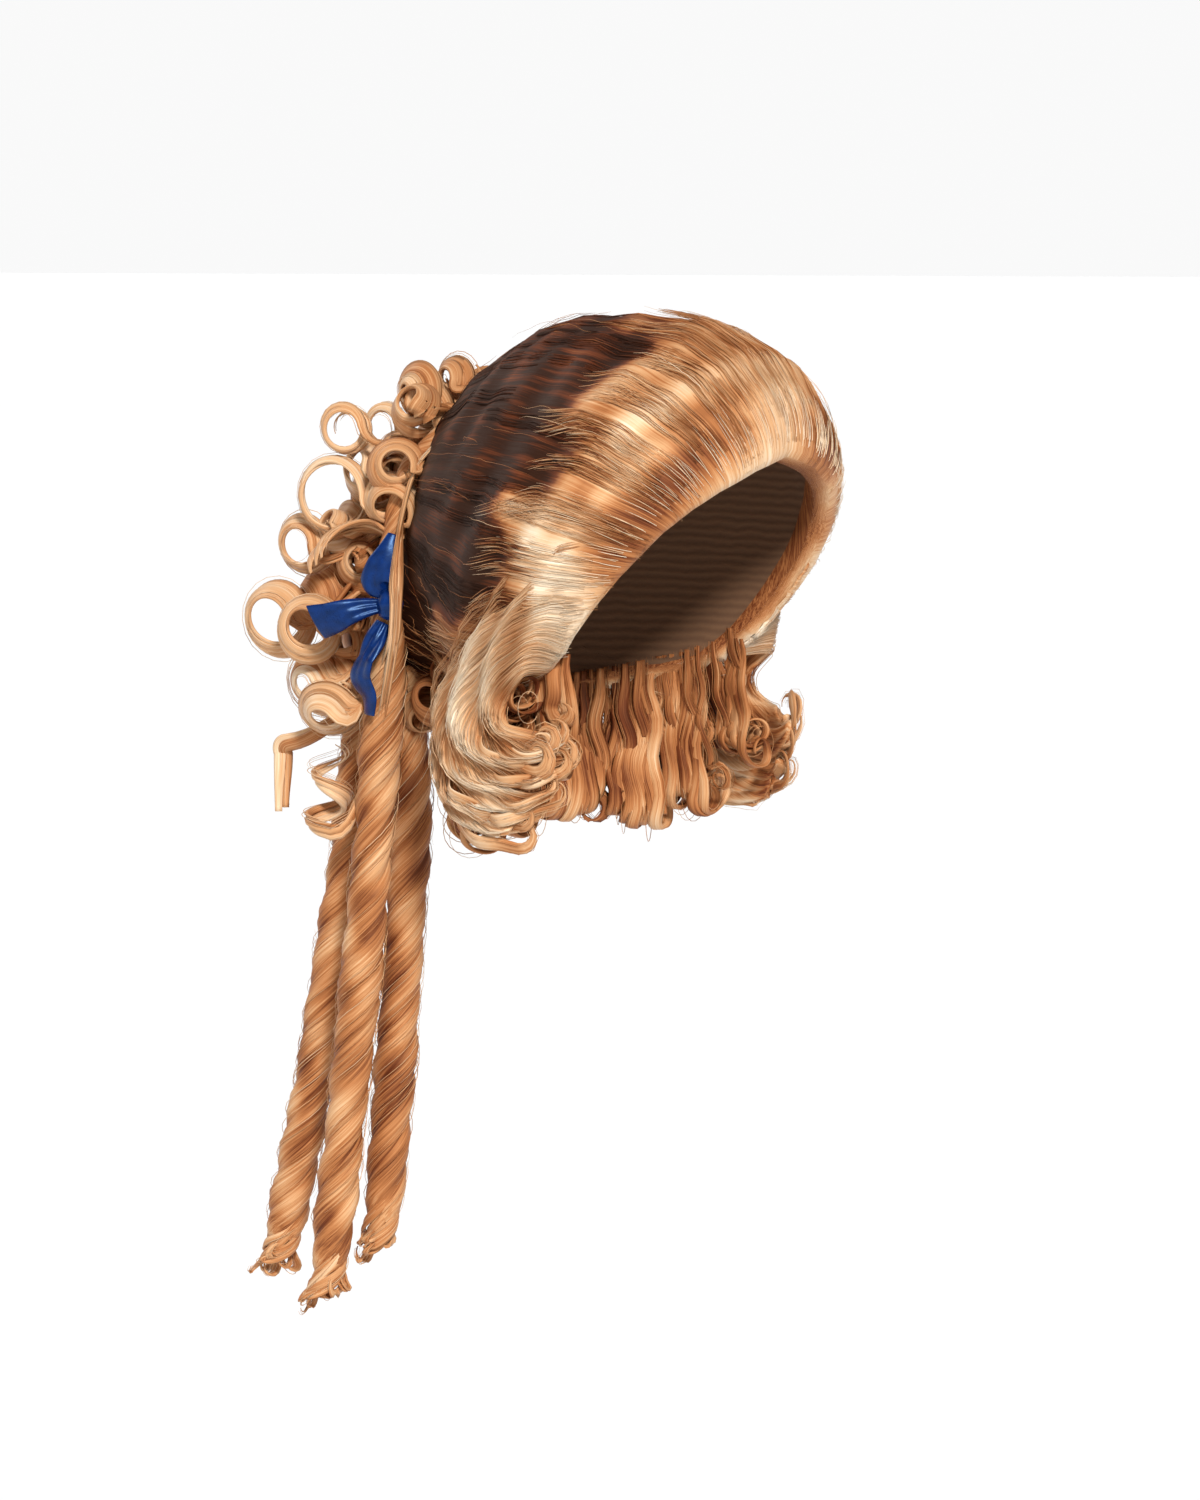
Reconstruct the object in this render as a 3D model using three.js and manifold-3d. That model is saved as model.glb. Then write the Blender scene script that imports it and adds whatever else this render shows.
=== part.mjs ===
// A child's ringlet wig: hair combed back over the head from a rolled hairline, loose curls pinned
// round the back, rolled curls along the nape, three long ringlets and a satin ribbon bow.
// Millimetres, +Z up. The face side is -Y and the wearer's right is -X.
// The origin is the point inside the crown where the top of the head bears.
import * as THREE from "three";
import { mergeVertices } from "three/addons/utils/BufferGeometryUtils.js";
import Module from "manifold-3d";

const wasm = await Module();
wasm.setup();

// Driving dimensions: the hollow for the head
const headHalfWidth = 72;
const headHalfLength = 88;
const headHalfHeight = 82;

// Driving dimensions: the combed hair over the head
const crownThickness = 12;
const backThickness = 8;
const rimThickness = 6;
const rimRound = 14;
const rollHeight = 7;
const rollInset = 36;
const rollWidth = 27;
const sideDip = 3;
const waveHeight = 1.5;
const moundHeight = 32;
const lockGroove = 1.5;
const lockCount = 13;

// Driving dimensions: the long ringlets
const ringletRadius = 8.8;
const ringletLobe = 1.6;
const ringletPitch = 62;
const ringletLobes = 3;
const ringletLength = 336;
const ringletSpacing = 20;

// Driving dimensions: the loose curls at the back
const curlReach = 40;
const curlRadius = 12;
const curlWidth = 10;
const curlThickness = 3;

// Driving dimensions: the rolled curls along the nape
const napeRadius = 10;
const napeWidth = 22;
const napeThickness = 4;
const napeDrop = 52;

// Driving dimensions: the ribbon and its bow
const ribbonWidth = 18;
const ribbonThickness = 1.2;
const bowReach = 30;
const knotWidth = 11;
const knotHeight = 14;

// Clearance between neighbouring pieces, and how deep a lock's root reaches before it is cut
const gap = 0.3;
const rootDepth = 4;

// Materials
const hairLight = new THREE.MeshStandardMaterial({ color: 0xd9ae6d, roughness: 0.42, metalness: 0 });
const hairDeep = new THREE.MeshStandardMaterial({ color: 0xb98449, roughness: 0.45, metalness: 0 });
const satin = new THREE.MeshStandardMaterial({ color: 0x12358c, roughness: 0.32, metalness: 0 });

// Turns rows of values into objects, with the names of the columns given once.
function table(columns, rows) {
  const names = columns.split(" ");
  return rows.map((row) => Object.fromEntries(names.map((name, i) => [name, row[i]])));
}

// The hairline: the rim's elevation seen from the middle of the head, by the angle from the face.
const hairline = table("fromFace elevation", [
  [0, 22],
  [13, 18.5],
  [25, 13.5],
  [33, 9],
  [41, 3],
  [49, -5.5],
  [56, -13],
  [63, -22],
  [71, -33],
  [82, -43],
  [100, -48],
  [130, -52],
  [180, -54],
]);

// Where the forms of the combed hair lie on the head, in degrees: the wave comes once every waveStep,
// and the side's dip and the mound have a middle. The roll fades out from the share backFrom of the
// way from the middle to the back to the share backTo.
const backFrom = 0.1;
const backTo = 0.85;
const waveStep = 24;
const waveSlant = 0.5;
const wavySide = 85;
const wavySpread = 50;
const dipMiddle = { fromFace: 112, elevation: 5, spread: 28 };
const moundMiddle = { fromFace: 181, elevation: -20, spread: 24 };
const gatherMiddle = { fromFace: 180, elevation: 8 };

// Loose curls. Angles are in degrees, and reach, radius, width, tail and pitch are shares of the sizes
// above. begin is where the loop starts, from the top. lean and tilt turn the loop's axis, rise and round
// say how far above the loop and how far round behind it the root sits, and pitch opens the turns.
const curls = table("name fromFace elevation reach radius width turns begin lean tilt rise round tail pitch", [
  ["top_curl_1", 165, 32, 0.42, 0.75, 1.6, 1.15, -110, 8, 0, 4, -3, 0, 0],
  ["top_curl_2", 176, 37, 0.3, 0.65, 1.3, 1.1, -100, -4, 0, 6, -2, 0, 0],
  ["back_curl_01", 162, 19, 0.95, 0.85, 0.6, 1.4, -80, 0, 0, 4, 6, 0, 0.2],
  ["back_curl_02", 173, 20, 0.72, 0.8, 0.7, 1.15, -90, 0, 0, 1, 0, 0, 0.2],
  ["back_curl_03", 163, 6, 0.85, 1.45, 0.8, 1.05, -90, 0, 0, 5, 5, 0, 0.2],
  ["back_curl_04", 176, 5, 0.6, 1.1, 2, 0.75, -80, 0, 0, 6, 0, 0, 0],
  ["back_curl_05", 168, -3, 1.03, 0.95, 1, 1.1, -90, 0, 0, 3, 6, 0, 0],
  ["back_curl_06", 157, -5, 0.5, 1.6, 2.2, 0.45, -70, -15, 50, 4, 3, 0, 0],
  ["back_curl_07", 167, -14, 1.2, 1.25, 1.4, 1.15, -70, 0, 0, 4, 7, 0, 0],
  ["back_curl_08", 159, -17, 0.9, 1.05, 1.3, 1.1, -80, -5, 10, 3, 8, 0, 0],
  ["back_curl_09", 168, -25, 1, 0.9, 1.6, 1.15, -60, 0, 0, 4, 6, 0, 0],
  ["back_curl_10", 157, -31, 1.15, 0.85, 1.7, 1.1, -50, 0, -15, 6, 9, 0, 0],
  ["back_curl_11", 166, -32, 1.75, 0.4, 0.75, 0.28, 0, 0, 0, 3, 4, 0.6, 0],
  ["back_curl_12", 162, -40, 1.76, 0.72, 0.7, 1.75, 0, 0, -80, 10, 6, 0, 1.2],
  ["back_curl_13", 167, -35, 0.5, 0.6, 1.3, 0.28, -10, 0, 0, 3, -2, 0.6, 0],
]);

// The curls on the wearer's left mirror these.
const mirroredCurls = [1, 3, 5, 7, 8, 9, 10].map((n) => `back_curl_${String(n).padStart(2, "0")}`);

// Rolled curls along the nape: where each hangs, how far it drops, stands out and rolls, as shares.
const napeCurls = table("fromFace drop reach radius width turns", [
  [78, 0.74, 0.3, 0.9, 1, 1.05],
  [99, 1, 0.4, 1, 1.1, 1.1],
  [121, 1.05, 0.4, 1.05, 1.15, 1.1],
  [149, 0.9, 0.4, 1, 1.25, 1.05],
  [92, 0.18, 1.6, 0.9, 1, 1.1],
  [112, 0.38, 1.7, 1.05, 1.15, 1.1],
]);

// Long ringlets. start is where the lock leaves the hair, side and behind where it hangs, in spacings
// and in half-lengths of the head, and lean is how far its tip stands out from there.
const ringlets = table("name fromFace start side behind lean top length phase", [
  ["ringlet_1", 157, 16, -2.05, 1.02, 0.44, 0.15, 1, 0],
  ["ringlet_2", 172, -36, -0.95, 1.08, 0.24, -0.6, 0.76, 40],
  ["ringlet_3", 172, -24, -0.95, 1.42, 0.56, -0.8, 0.75, 80],
]);

// The bow's place on the hair, and the way its ends stand out and face, in degrees
const bowMiddle = { fromFace: 151, elevation: -17 };
const bowTurn = 146;

// The ribbon's ends, from the knot outwards. out, up and ahead are shares of the bow's reach, width is
// a share of the ribbon's, and turn is the ribbon's twist about its own line.
const bowEnds = {
  bow_upper_loop: table("out up ahead width turn", [
    [0.04, 0.16, 0, 0.4, 0],
    [0.16, 0.3, 0.08, 0.85, -10],
    [0.12, 0.5, 0.12, 0.75, -10],
    [0.02, 0.75, 0.1, 0.5, 0],
    [-0.06, 0.98, 0.02, 0.3, 10],
  ]),
  bow_left_end: table("out up ahead width turn", [
    [0.16, -0.02, 0, 0.35, 0],
    [0.4, -0.06, 0.06, 0.5, 0],
    [0.62, -0.12, 0.1, 0.65, -10],
    [0.84, -0.2, 0.06, 0.85, -25],
    [1.06, -0.26, -0.02, 1, -30],
  ]),
  bow_lower_end: table("out up ahead width turn", [
    [0.1, -0.26, 0, 0.35, 0],
    [0.22, -0.5, 0.06, 0.6, 30],
    [0.36, -0.8, 0.08, 0.75, 60],
    [0.42, -1.05, 0.04, 0.7, 40],
    [0.3, -1.3, 0.02, 0.6, 50],
    [0.3, -1.56, 0, 0.55, 60],
  ]),
};

const V = (x, y, z) => new THREE.Vector3(x, y, z);
const rad = THREE.MathUtils.degToRad;
const deg = THREE.MathUtils.radToDeg;
const ease = THREE.MathUtils.smoothstep;
const mix = THREE.MathUtils.lerp;
const hump = (x, width) => Math.exp(-((x / width) ** 2));
const up = V(0, 0, 1);
const headCentre = V(0, 0, -headHalfHeight);
const headMean = (headHalfWidth + headHalfLength + headHalfHeight) / 3;

// A direction from the head's middle: fromFace is 0 at the face, 90 at the wearer's right, 180 behind.
function direction(fromFace, elevation) {
  const level = Math.cos(rad(elevation));
  return V(-Math.sin(rad(fromFace)) * level, -Math.cos(rad(fromFace)) * level, Math.sin(rad(elevation)));
}

const wayTo = (place) => direction(place.fromFace, place.elevation);
const gather = wayTo(gatherMiddle);

function rimDirection(fromFace) {
  const folded = fromFace > 180 ? 360 - fromFace : fromFace;
  const next = Math.max(1, hairline.findIndex((row) => row.fromFace >= folded));
  const [a, b] = [hairline[next - 1], hairline[next]];
  const share = (folded - a.fromFace) / (b.fromFace - a.fromFace);
  return direction(fromFace, mix(a.elevation, b.elevation, share));
}

// The rim as short straight edges, each between two directions rimStep degrees apart.
const rimStep = 4;
const rimWays = Array.from({ length: 360 / rimStep }, (_, i) => rimDirection(i * rimStep));
const rimEdges = rimWays.map((way, i) => new THREE.Line3(way, rimWays[(i + 1) % rimWays.length]));

function distanceFromRim(d) {
  const near = V(0, 0, 0);
  return Math.min(...rimEdges.map((edge) => edge.closestPointToPoint(d, true, near).distanceTo(d))) * headMean;
}

function headRadius(d) {
  return 1 / Math.hypot(d.x / headHalfWidth, d.y / headHalfLength, d.z / headHalfHeight);
}

// How far the combed hair stands off the head: a round rim, a roll behind it that fades towards the
// back, a dip and soft waves at the sides, and the mound behind that the curls are pinned to.
function hairHeight(d) {
  const fromRim = distanceFromRim(d);
  const fromFace = deg(Math.abs(Math.atan2(d.x, -d.y)));
  const elevation = deg(Math.asin(d.z));
  const rightSide = V(-Math.abs(d.x), d.y, d.z);
  const front = 1 - ease(d.y, backFrom, backTo);
  const edge = Math.sqrt(1 - (1 - Math.min(1, fromRim / rimRound)) ** 2);
  const dip = sideDip * hump(deg(rightSide.angleTo(wayTo(dipMiddle))), dipMiddle.spread);
  const waveTurn = ((fromFace + elevation * waveSlant) * 360) / waveStep;
  const waveReach = waveHeight * Math.hypot(d.x, d.y) * hump(fromFace - wavySide, wavySpread);
  const wave = waveReach * Math.cos(rad(waveTurn));
  const roll = rollHeight * front * hump(fromRim - rollInset, rollWidth);
  const level = mix(backThickness, crownThickness, front) - dip + wave + roll;
  const fromMound = deg(d.angleTo(wayTo(moundMiddle))) / moundMiddle.spread;
  return mix(rimThickness, level, edge) + moundHeight * Math.exp(-(fromMound ** 3)) * edge;
}

function onHair(d, extra = 0) {
  return headCentre.clone().addScaledVector(d, headRadius(d) + hairHeight(d) + extra);
}

function solidOf(vertProperties, triVerts) {
  return new wasm.Manifold(new wasm.Mesh({ numProp: 3, vertProperties, triVerts }));
}

function meshOf(name, solid, material) {
  const { vertProperties, triVerts } = solid.getMesh();
  const geometry = new THREE.BufferGeometry();
  geometry.setAttribute("position", new THREE.BufferAttribute(vertProperties, 3));
  geometry.setIndex(new THREE.BufferAttribute(triVerts, 1));
  geometry.computeVertexNormals();
  const mesh = new THREE.Mesh(geometry, material);
  mesh.name = name;
  return mesh;
}

// Closes rings of points into one skin, with a middle point on each end.
function skin(rings, first, last) {
  const sides = rings[0].length;
  const points = rings.flat();
  const faces = [];
  for (let i = 0; i + 1 < rings.length; i++) {
    for (let k = 0; k < sides; k++) {
      const a = i * sides + k;
      const b = i * sides + ((k + 1) % sides);
      faces.push([a, b + sides, b], [a, a + sides, b + sides]);
    }
  }
  const start = points.push(first) - 1;
  const end = points.push(last) - 1;
  const top = (rings.length - 1) * sides;
  for (let k = 0; k < sides; k++) {
    const next = (k + 1) % sides;
    faces.push([start, k, next], [end, top + next, top + k]);
  }
  return solidOf(new Float32Array(points.flatMap((p) => [p.x, p.y, p.z])), new Uint32Array(faces.flat()));
}

// Spokes run from the hairline to the gather at the back, as the hair is combed. Each lock of the
// combed hair is three spokes wide, with a groove along the first.
const spokesPerLock = 3;
const spokeCount = lockCount * spokesPerLock;
const outerRows = [0, 0.03, 0.08, 0.14, 0.21, 0.29, 0.38, 0.47, 0.56, 0.65, 0.74, 0.82, 0.89, 0.95];
const innerRows = [0.9, 0.7, 0.5, 0.32, 0.18, 0.07, 0];

// The combed crown: hollow for the head, or filled and grown by extra to cut what is rooted on it.
function crown(extra, hollow) {
  const spokes = Array.from({ length: spokeCount }, (_, i) => {
    const rim = rimDirection((i * 360) / spokeCount);
    const axis = rim.clone().cross(gather).normalize();
    return (share) => rim.clone().applyAxisAngle(axis, rim.angleTo(gather) * share);
  });
  const groove = (i, share) => (i % spokesPerLock ? 0 : -lockGroove * ease(share, 0, 0.2) * (1 - share / 2));
  const outer = outerRows.map((share) => spokes.map((s, i) => onHair(s(share), groove(i, share) + extra)));
  const onHead = (d, sink) => headCentre.clone().addScaledVector(d, headRadius(d) - sink);
  if (!hollow) {
    const foot = spokes.map((s) => onHead(s(0), extra));
    return skin([foot, ...outer], headCentre, onHair(gather, extra));
  }
  const inner = innerRows.map((share) => spokes.map((s) => onHead(s(share), 0)));
  return skin([...inner, ...outer], onHead(gather, 0), onHair(gather));
}

// A lock swept along a line. wide is the way its width runs, and section gives its outline at a share.
function sweep(line, wide, section) {
  const last = line.length - 1;
  const rings = line.map((p, i) => {
    const along = line[Math.min(last, i + 1)].clone().sub(line[Math.max(0, i - 1)]).normalize();
    const side = wide.clone().addScaledVector(along, -wide.dot(along)).normalize();
    const thick = along.clone().cross(side);
    return section(i / last).map(([w, t]) => p.clone().addScaledVector(side, w).addScaledVector(thick, t));
  });
  return skin(rings, line[0], line[last]);
}

// A flat lock's six-sided outline, narrower at its root and its tip.
const tipShare = 0.45;
const flatShare = 0.55;

function lockOutline(width, thickness, extra) {
  return (share) => {
    const taper = mix(tipShare, 1, Math.sqrt(Math.min(1, share * 5, (1 - share) * 4)));
    const w = (width / 2) * taper + extra;
    const t = (thickness / 2) * taper + extra;
    const flat = w * flatShare;
    return [[w, 0], [flat, -t], [-flat, -t], [-w, 0], [-flat, t], [flat, t]];
  };
}

// A loose curl: out of the hair at its root, then round its loop, drifting sideways as it turns.
const stemBend = 0.4;
const tailShares = [0.2, 0.6, 1];

function curl(row, extra) {
  const hand = row.fromFace > 180 ? -1 : 1;
  const out = direction(row.fromFace + row.lean, 0);
  const axis = out.clone().cross(up).multiplyScalar(hand).applyAxisAngle(out, rad(row.tilt * hand));
  const top = up.clone().applyAxisAngle(out, rad(row.tilt * hand));
  const centre = onHair(wayTo(row), row.reach * curlReach);
  const rootWay = direction(row.fromFace + row.round, row.elevation + row.rise);
  const root = onHair(rootWay, -rootDepth);
  const drift = (row.width + row.pitch) * curlWidth + 3 * gap;
  const loop = (share) => {
    const angle = rad(row.begin + 360 * row.turns * share);
    const r = row.radius * curlRadius * (1 - share / 4);
    return centre.clone()
      .addScaledVector(top, r * Math.cos(angle))
      .addScaledVector(out, r * Math.sin(angle))
      .addScaledVector(axis, drift * row.turns * (share - 0.5));
  };
  const first = loop(0);
  const back = first.clone().sub(loop(0.02)).normalize();
  const stride = first.distanceTo(root) * stemBend;
  const stem = new THREE.CubicBezierCurve3(
    root,
    root.clone().addScaledVector(rootWay, stride),
    first.clone().addScaledVector(back, stride),
    first,
  );
  const steps = Math.ceil(row.turns * 10);
  const line = stem.getPoints(3).slice(0, -1);
  for (let i = 0; i <= steps; i++) line.push(loop(i / steps));
  for (const share of row.tail ? tailShares : []) {
    line.push(loop(1).addScaledVector(up, -share * row.tail * curlReach));
  }
  return sweep(line, axis, lockOutline(row.width * curlWidth, curlThickness, extra));
}

// A nape curl: it hangs from the rim, then rolls outwards and up into itself.
function napeCurl(row, extra) {
  const out = direction(row.fromFace, 0);
  const axis = out.clone().cross(up);
  const rim = rimDirection(row.fromFace);
  const seat = headCentre.clone().addScaledVector(rim, headRadius(rim) + rimThickness / 2);
  const below = (drop) => seat.clone().addScaledVector(up, -drop).addScaledVector(out, row.reach * napeThickness);
  const root = seat.clone().addScaledVector(up, rootDepth);
  const hang = below(row.drop * napeDrop);
  const radius = row.radius * napeRadius;
  const centre = hang.clone().addScaledVector(out, radius);
  const steps = Math.ceil(row.turns * 8);
  const line = new THREE.CatmullRomCurve3([root, below(rootDepth), hang]).getPoints(4);
  for (let i = 1; i <= steps; i++) {
    const angle = rad((360 * row.turns * i) / steps);
    const r = radius * (1 - i / steps / 2);
    line.push(centre.clone().addScaledVector(out, -r * Math.cos(angle)).addScaledVector(up, -r * Math.sin(angle)));
  }
  return sweep(line, axis, lockOutline(row.width * napeWidth, napeThickness, extra));
}

// A ringlet: its lock lies on the hair, then falls free, and it twists all the way down. It is half as
// thick at its root, grows to its full size by fullAt and closes from closeAt. fallShares are the heights
// its line is drawn through, and rootRise is how far above its start, in degrees, it leaves the crown.
const fullAt = 0.35;
const closeAt = 0.94;
const closeEnd = 1.01;
const sidesPerLobe = 3;
const fallShares = [0.08, 0.25, 0.5, 0.75, 1];
const fallCurve = 1.4;
const rootRise = 12;

function ringlet(row, extra) {
  const x = row.side * ringletSpacing;
  const behind = row.behind * headHalfLength;
  const top = headCentre.z + row.top * headHalfHeight;
  const fall = (share) => {
    const lean = row.lean * headHalfLength * share ** fallCurve;
    return V(x, behind + lean, top - row.length * ringletLength * share);
  };
  const root = onHair(direction(row.fromFace, row.start + rootRise), -rootDepth);
  const leave = onHair(direction(row.fromFace, row.start), ringletRadius / 3);
  const path = new THREE.CatmullRomCurve3([root, leave, ...fallShares.map(fall)]);
  const total = path.getLength();
  const sides = ringletLobes * sidesPerLobe;
  const outline = (share) => {
    const grow = mix(0.5, 1, ease(share, 0, fullAt));
    const close = Math.sqrt(1 - (Math.max(0, share - closeAt) / (closeEnd - closeAt)) ** 2);
    const twist = (share * total * 360) / ringletPitch + row.phase;
    return Array.from({ length: sides }, (_, k) => {
      const lobe = ringletLobe * (Math.cos(rad((k * 360) / sidesPerLobe)) - 1);
      const r = (ringletRadius + lobe) * grow * close + extra;
      const angle = rad(twist - (k * 360) / sides);
      return [r * Math.cos(angle), r * Math.sin(angle)];
    });
  };
  return sweep(path.getSpacedPoints(33), V(1, 0, 0), outline);
}

// The bow sits on the hair beside the first ringlet. Its ends are strips in the plane of out and up.
const bowOut = direction(bowTurn, 0);
const bowAhead = direction(bowTurn - 90, 0);
const bowCentre = onHair(wayTo(bowMiddle), knotWidth / 2 + gap);

function knot(extra) {
  const ball = new THREE.SphereGeometry(1, 8, 6);
  ball.scale(knotWidth / 2 + extra, knotHeight / 2 + extra, knotWidth / 2 + extra);
  ball.applyMatrix4(new THREE.Matrix4().makeBasis(bowOut, up, bowAhead.clone().negate()).setPosition(bowCentre));
  ball.deleteAttribute("normal");
  ball.deleteAttribute("uv");
  const merged = mergeVertices(ball);
  return solidOf(merged.attributes.position.array, new Uint32Array(merged.index.array));
}

function bowEnd(rows, extra) {
  const spans = rows.length - 1;
  const at = (row) => bowCentre.clone()
    .addScaledVector(bowOut, row.out * bowReach)
    .addScaledVector(up, row.up * bowReach)
    .addScaledVector(bowAhead, row.ahead * bowReach);
  const outline = (share) => {
    const [a, b] = [rows[Math.floor(share * spans)], rows[Math.ceil(share * spans)]];
    const w = (mix(a.width, b.width, (share * spans) % 1) * ribbonWidth) / 2 + extra;
    const t = ribbonThickness / 2 + extra;
    const turn = rad(mix(a.turn, b.turn, (share * spans) % 1));
    const corners = [[w, t], [0, t], [-w, t], [-w, -t], [0, -t], [w, -t]];
    return corners.map(([wide, thick]) => [
      thick * Math.cos(turn) - wide * Math.sin(turn),
      thick * Math.sin(turn) + wide * Math.cos(turn),
    ]);
  };
  return sweep(new THREE.CatmullRomCurve3(rows.map(at)).getPoints(spans * 2), bowAhead, outline);
}

const crownCutter = crown(gap, false);
const placed = [];

// Cuts a piece clear of the crown and of the pieces already placed, and keeps its main body.
function place(name, make, material) {
  const solid = placed.reduce((rest, grown) => rest.subtract(grown), make(0).subtract(crownCutter));
  const bodies = solid.decompose().sort((a, b) => b.volume() - a.volume());
  placed.push(make(gap));
  return meshOf(name, bodies[0], material);
}

const mirrored = (row) => ({ ...row, fromFace: 360 - row.fromFace, lean: -row.lean, round: -row.round });
const wig = new THREE.Group();
wig.add(meshOf("crown_hair", crown(0, true), hairLight));
for (const row of ringlets) wig.add(place(row.name, (extra) => ringlet(row, extra), hairDeep));
wig.add(place("bow_knot", knot, satin));
for (const [name, rows] of Object.entries(bowEnds)) wig.add(place(name, (extra) => bowEnd(rows, extra), satin));
for (const row of curls) wig.add(place(row.name, (extra) => curl(row, extra), hairLight));
for (const row of curls.filter((each) => mirroredCurls.includes(each.name))) {
  wig.add(place(row.name.replace("back", "left"), (extra) => curl(mirrored(row), extra), hairLight));
}
for (const [i, row] of napeCurls.entries()) {
  wig.add(place(`nape_curl_right_${i + 1}`, (extra) => napeCurl(row, extra), hairDeep));
  wig.add(place(`nape_curl_left_${i + 1}`, (extra) => napeCurl(mirrored(row), extra), hairDeep));
}

export default wig;
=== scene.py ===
# %% [markdown]
# # A ringlet wig, built from locks of hair
#
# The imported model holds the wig's plain solids: a combed crown, curls, ringlets and a ribbon bow.
# This lesson keeps every solid's place and dresses it in locks, fibres and satin. A wig is made of
# bundles of fibre that lie beside each other, so nearly everything here is one idea repeated: a line
# in space, with a flat bundle of fibres swept along it.

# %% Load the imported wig
import math

import bpy
import numpy as np
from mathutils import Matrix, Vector


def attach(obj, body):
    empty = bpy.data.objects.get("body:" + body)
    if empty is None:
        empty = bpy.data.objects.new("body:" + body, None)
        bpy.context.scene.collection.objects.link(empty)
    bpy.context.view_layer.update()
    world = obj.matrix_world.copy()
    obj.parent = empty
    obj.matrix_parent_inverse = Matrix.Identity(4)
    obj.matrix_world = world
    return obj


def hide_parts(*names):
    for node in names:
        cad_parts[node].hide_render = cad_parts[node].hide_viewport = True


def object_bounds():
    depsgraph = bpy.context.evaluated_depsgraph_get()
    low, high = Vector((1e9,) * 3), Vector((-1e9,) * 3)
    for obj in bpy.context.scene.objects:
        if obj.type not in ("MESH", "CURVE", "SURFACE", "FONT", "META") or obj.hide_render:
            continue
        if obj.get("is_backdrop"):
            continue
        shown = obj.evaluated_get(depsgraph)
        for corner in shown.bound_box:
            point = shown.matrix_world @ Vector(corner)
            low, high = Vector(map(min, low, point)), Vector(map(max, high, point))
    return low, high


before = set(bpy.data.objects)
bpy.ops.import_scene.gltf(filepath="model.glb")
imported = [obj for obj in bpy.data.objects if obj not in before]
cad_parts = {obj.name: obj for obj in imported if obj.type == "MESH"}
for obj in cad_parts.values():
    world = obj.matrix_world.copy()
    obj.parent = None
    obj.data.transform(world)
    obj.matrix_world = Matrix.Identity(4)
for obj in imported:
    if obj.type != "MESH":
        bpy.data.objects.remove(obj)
cad_box = [list(corner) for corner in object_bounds()]
MM = 0.001
print("loaded", len(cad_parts), "nodes")

# %% [markdown]
# ## The camera
#
# The wig was photographed from the wearer's right and a little above, with a long lens. The view is
# worked out from the middle of the head, so that the picture's frame stays tied to the wig.

# %% Camera
HEAD = np.array([0.0, 0.0, -82.0])
UP = np.array([0.0, 0.0, 1.0])
TURN, RISE = math.radians(-52), math.radians(5)
camera_way = np.array([math.sin(TURN) * math.cos(RISE), -math.cos(TURN) * math.cos(RISE), math.sin(RISE)])
camera_right = np.array([math.cos(TURN), math.sin(TURN), 0.0])
camera_up = np.cross(camera_way, camera_right)
CAMERA_DISTANCE = 2400
VIEW_HEIGHT = 630
SENSOR = 36
AIM_LEFT, AIM_DOWN = 8.4, 90.3
aim = HEAD - AIM_LEFT * camera_right - AIM_DOWN * camera_up

camera_data = bpy.data.cameras.new("camera")
camera_data.sensor_width = SENSOR
camera_data.lens = SENSOR * CAMERA_DISTANCE / VIEW_HEIGHT
camera = bpy.data.objects.new("camera", camera_data)
bpy.context.collection.objects.link(camera)
camera.location = (aim + CAMERA_DISTANCE * camera_way) * MM
camera.rotation_mode = "QUATERNION"
camera.rotation_quaternion = (-Vector(camera_way)).to_track_quat("-Z", "Y")
bpy.context.scene.camera = camera
print("lens", round(camera_data.lens, 1), "mm")

# %% [markdown]
# ## Shader maths
#
# Hair and satin need patterns made of noise, masks and mixes. Wrapping a node's output in a small
# class lets those be written as sums and products, which reads better than a list of links.


# %% A socket that can be added and multiplied
class Socket:
    """An output of a node, or a plain value, inside one material's tree."""

    def __init__(self, tree, source):
        self.tree = tree
        self.source = source

    def node(self, kind, settings=None, out=0, **inputs):
        made = self.tree.nodes.new("ShaderNode" + kind)
        for name, value in (settings or {}).items():
            if name == "stops":
                fill_ramp(made.color_ramp, value)
            else:
                setattr(made, name, value)
        for name, value in inputs.items():
            key = int(name[2:]) if name.startswith("in") and name[2:].isdigit() else name.replace("_", " ")
            connect(self.tree, value, made.inputs[key])
        return Socket(self.tree, made.outputs[out])

    def maths(self, operation, first, second=0.0):
        return self.node("Math", {"operation": operation}, in0=first, in1=second)

    def __add__(self, other):
        return self.maths("ADD", self, other)

    def __radd__(self, other):
        return self.maths("ADD", other, self)

    def __sub__(self, other):
        return self.maths("SUBTRACT", self, other)

    def __rsub__(self, other):
        return self.maths("SUBTRACT", other, self)

    def __mul__(self, other):
        return self.maths("MULTIPLY", self, other)

    def __rmul__(self, other):
        return self.maths("MULTIPLY", other, self)

    def clamp(self):
        return self.node("Clamp", in0=self)


def connect(tree, value, target):
    if isinstance(value, Socket):
        tree.links.new(value.source, target)
    else:
        target.default_value = value


def fill_ramp(ramp, stops):
    while len(ramp.elements) < len(stops):
        ramp.elements.new(1)
    for element, (place, colour) in zip(ramp.elements, stops):
        element.position = place
        element.color = (*colour, 1)


def new_material(name, **constants):
    material = bpy.data.materials.new(name)
    material.use_nodes = True
    shader = material.node_tree.nodes["Principled BSDF"]
    for key, value in constants.items():
        shader.inputs[key.replace("_", " ")].default_value = value
    return material, shader, Socket(material.node_tree, None)


print("socket class ready")
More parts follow.
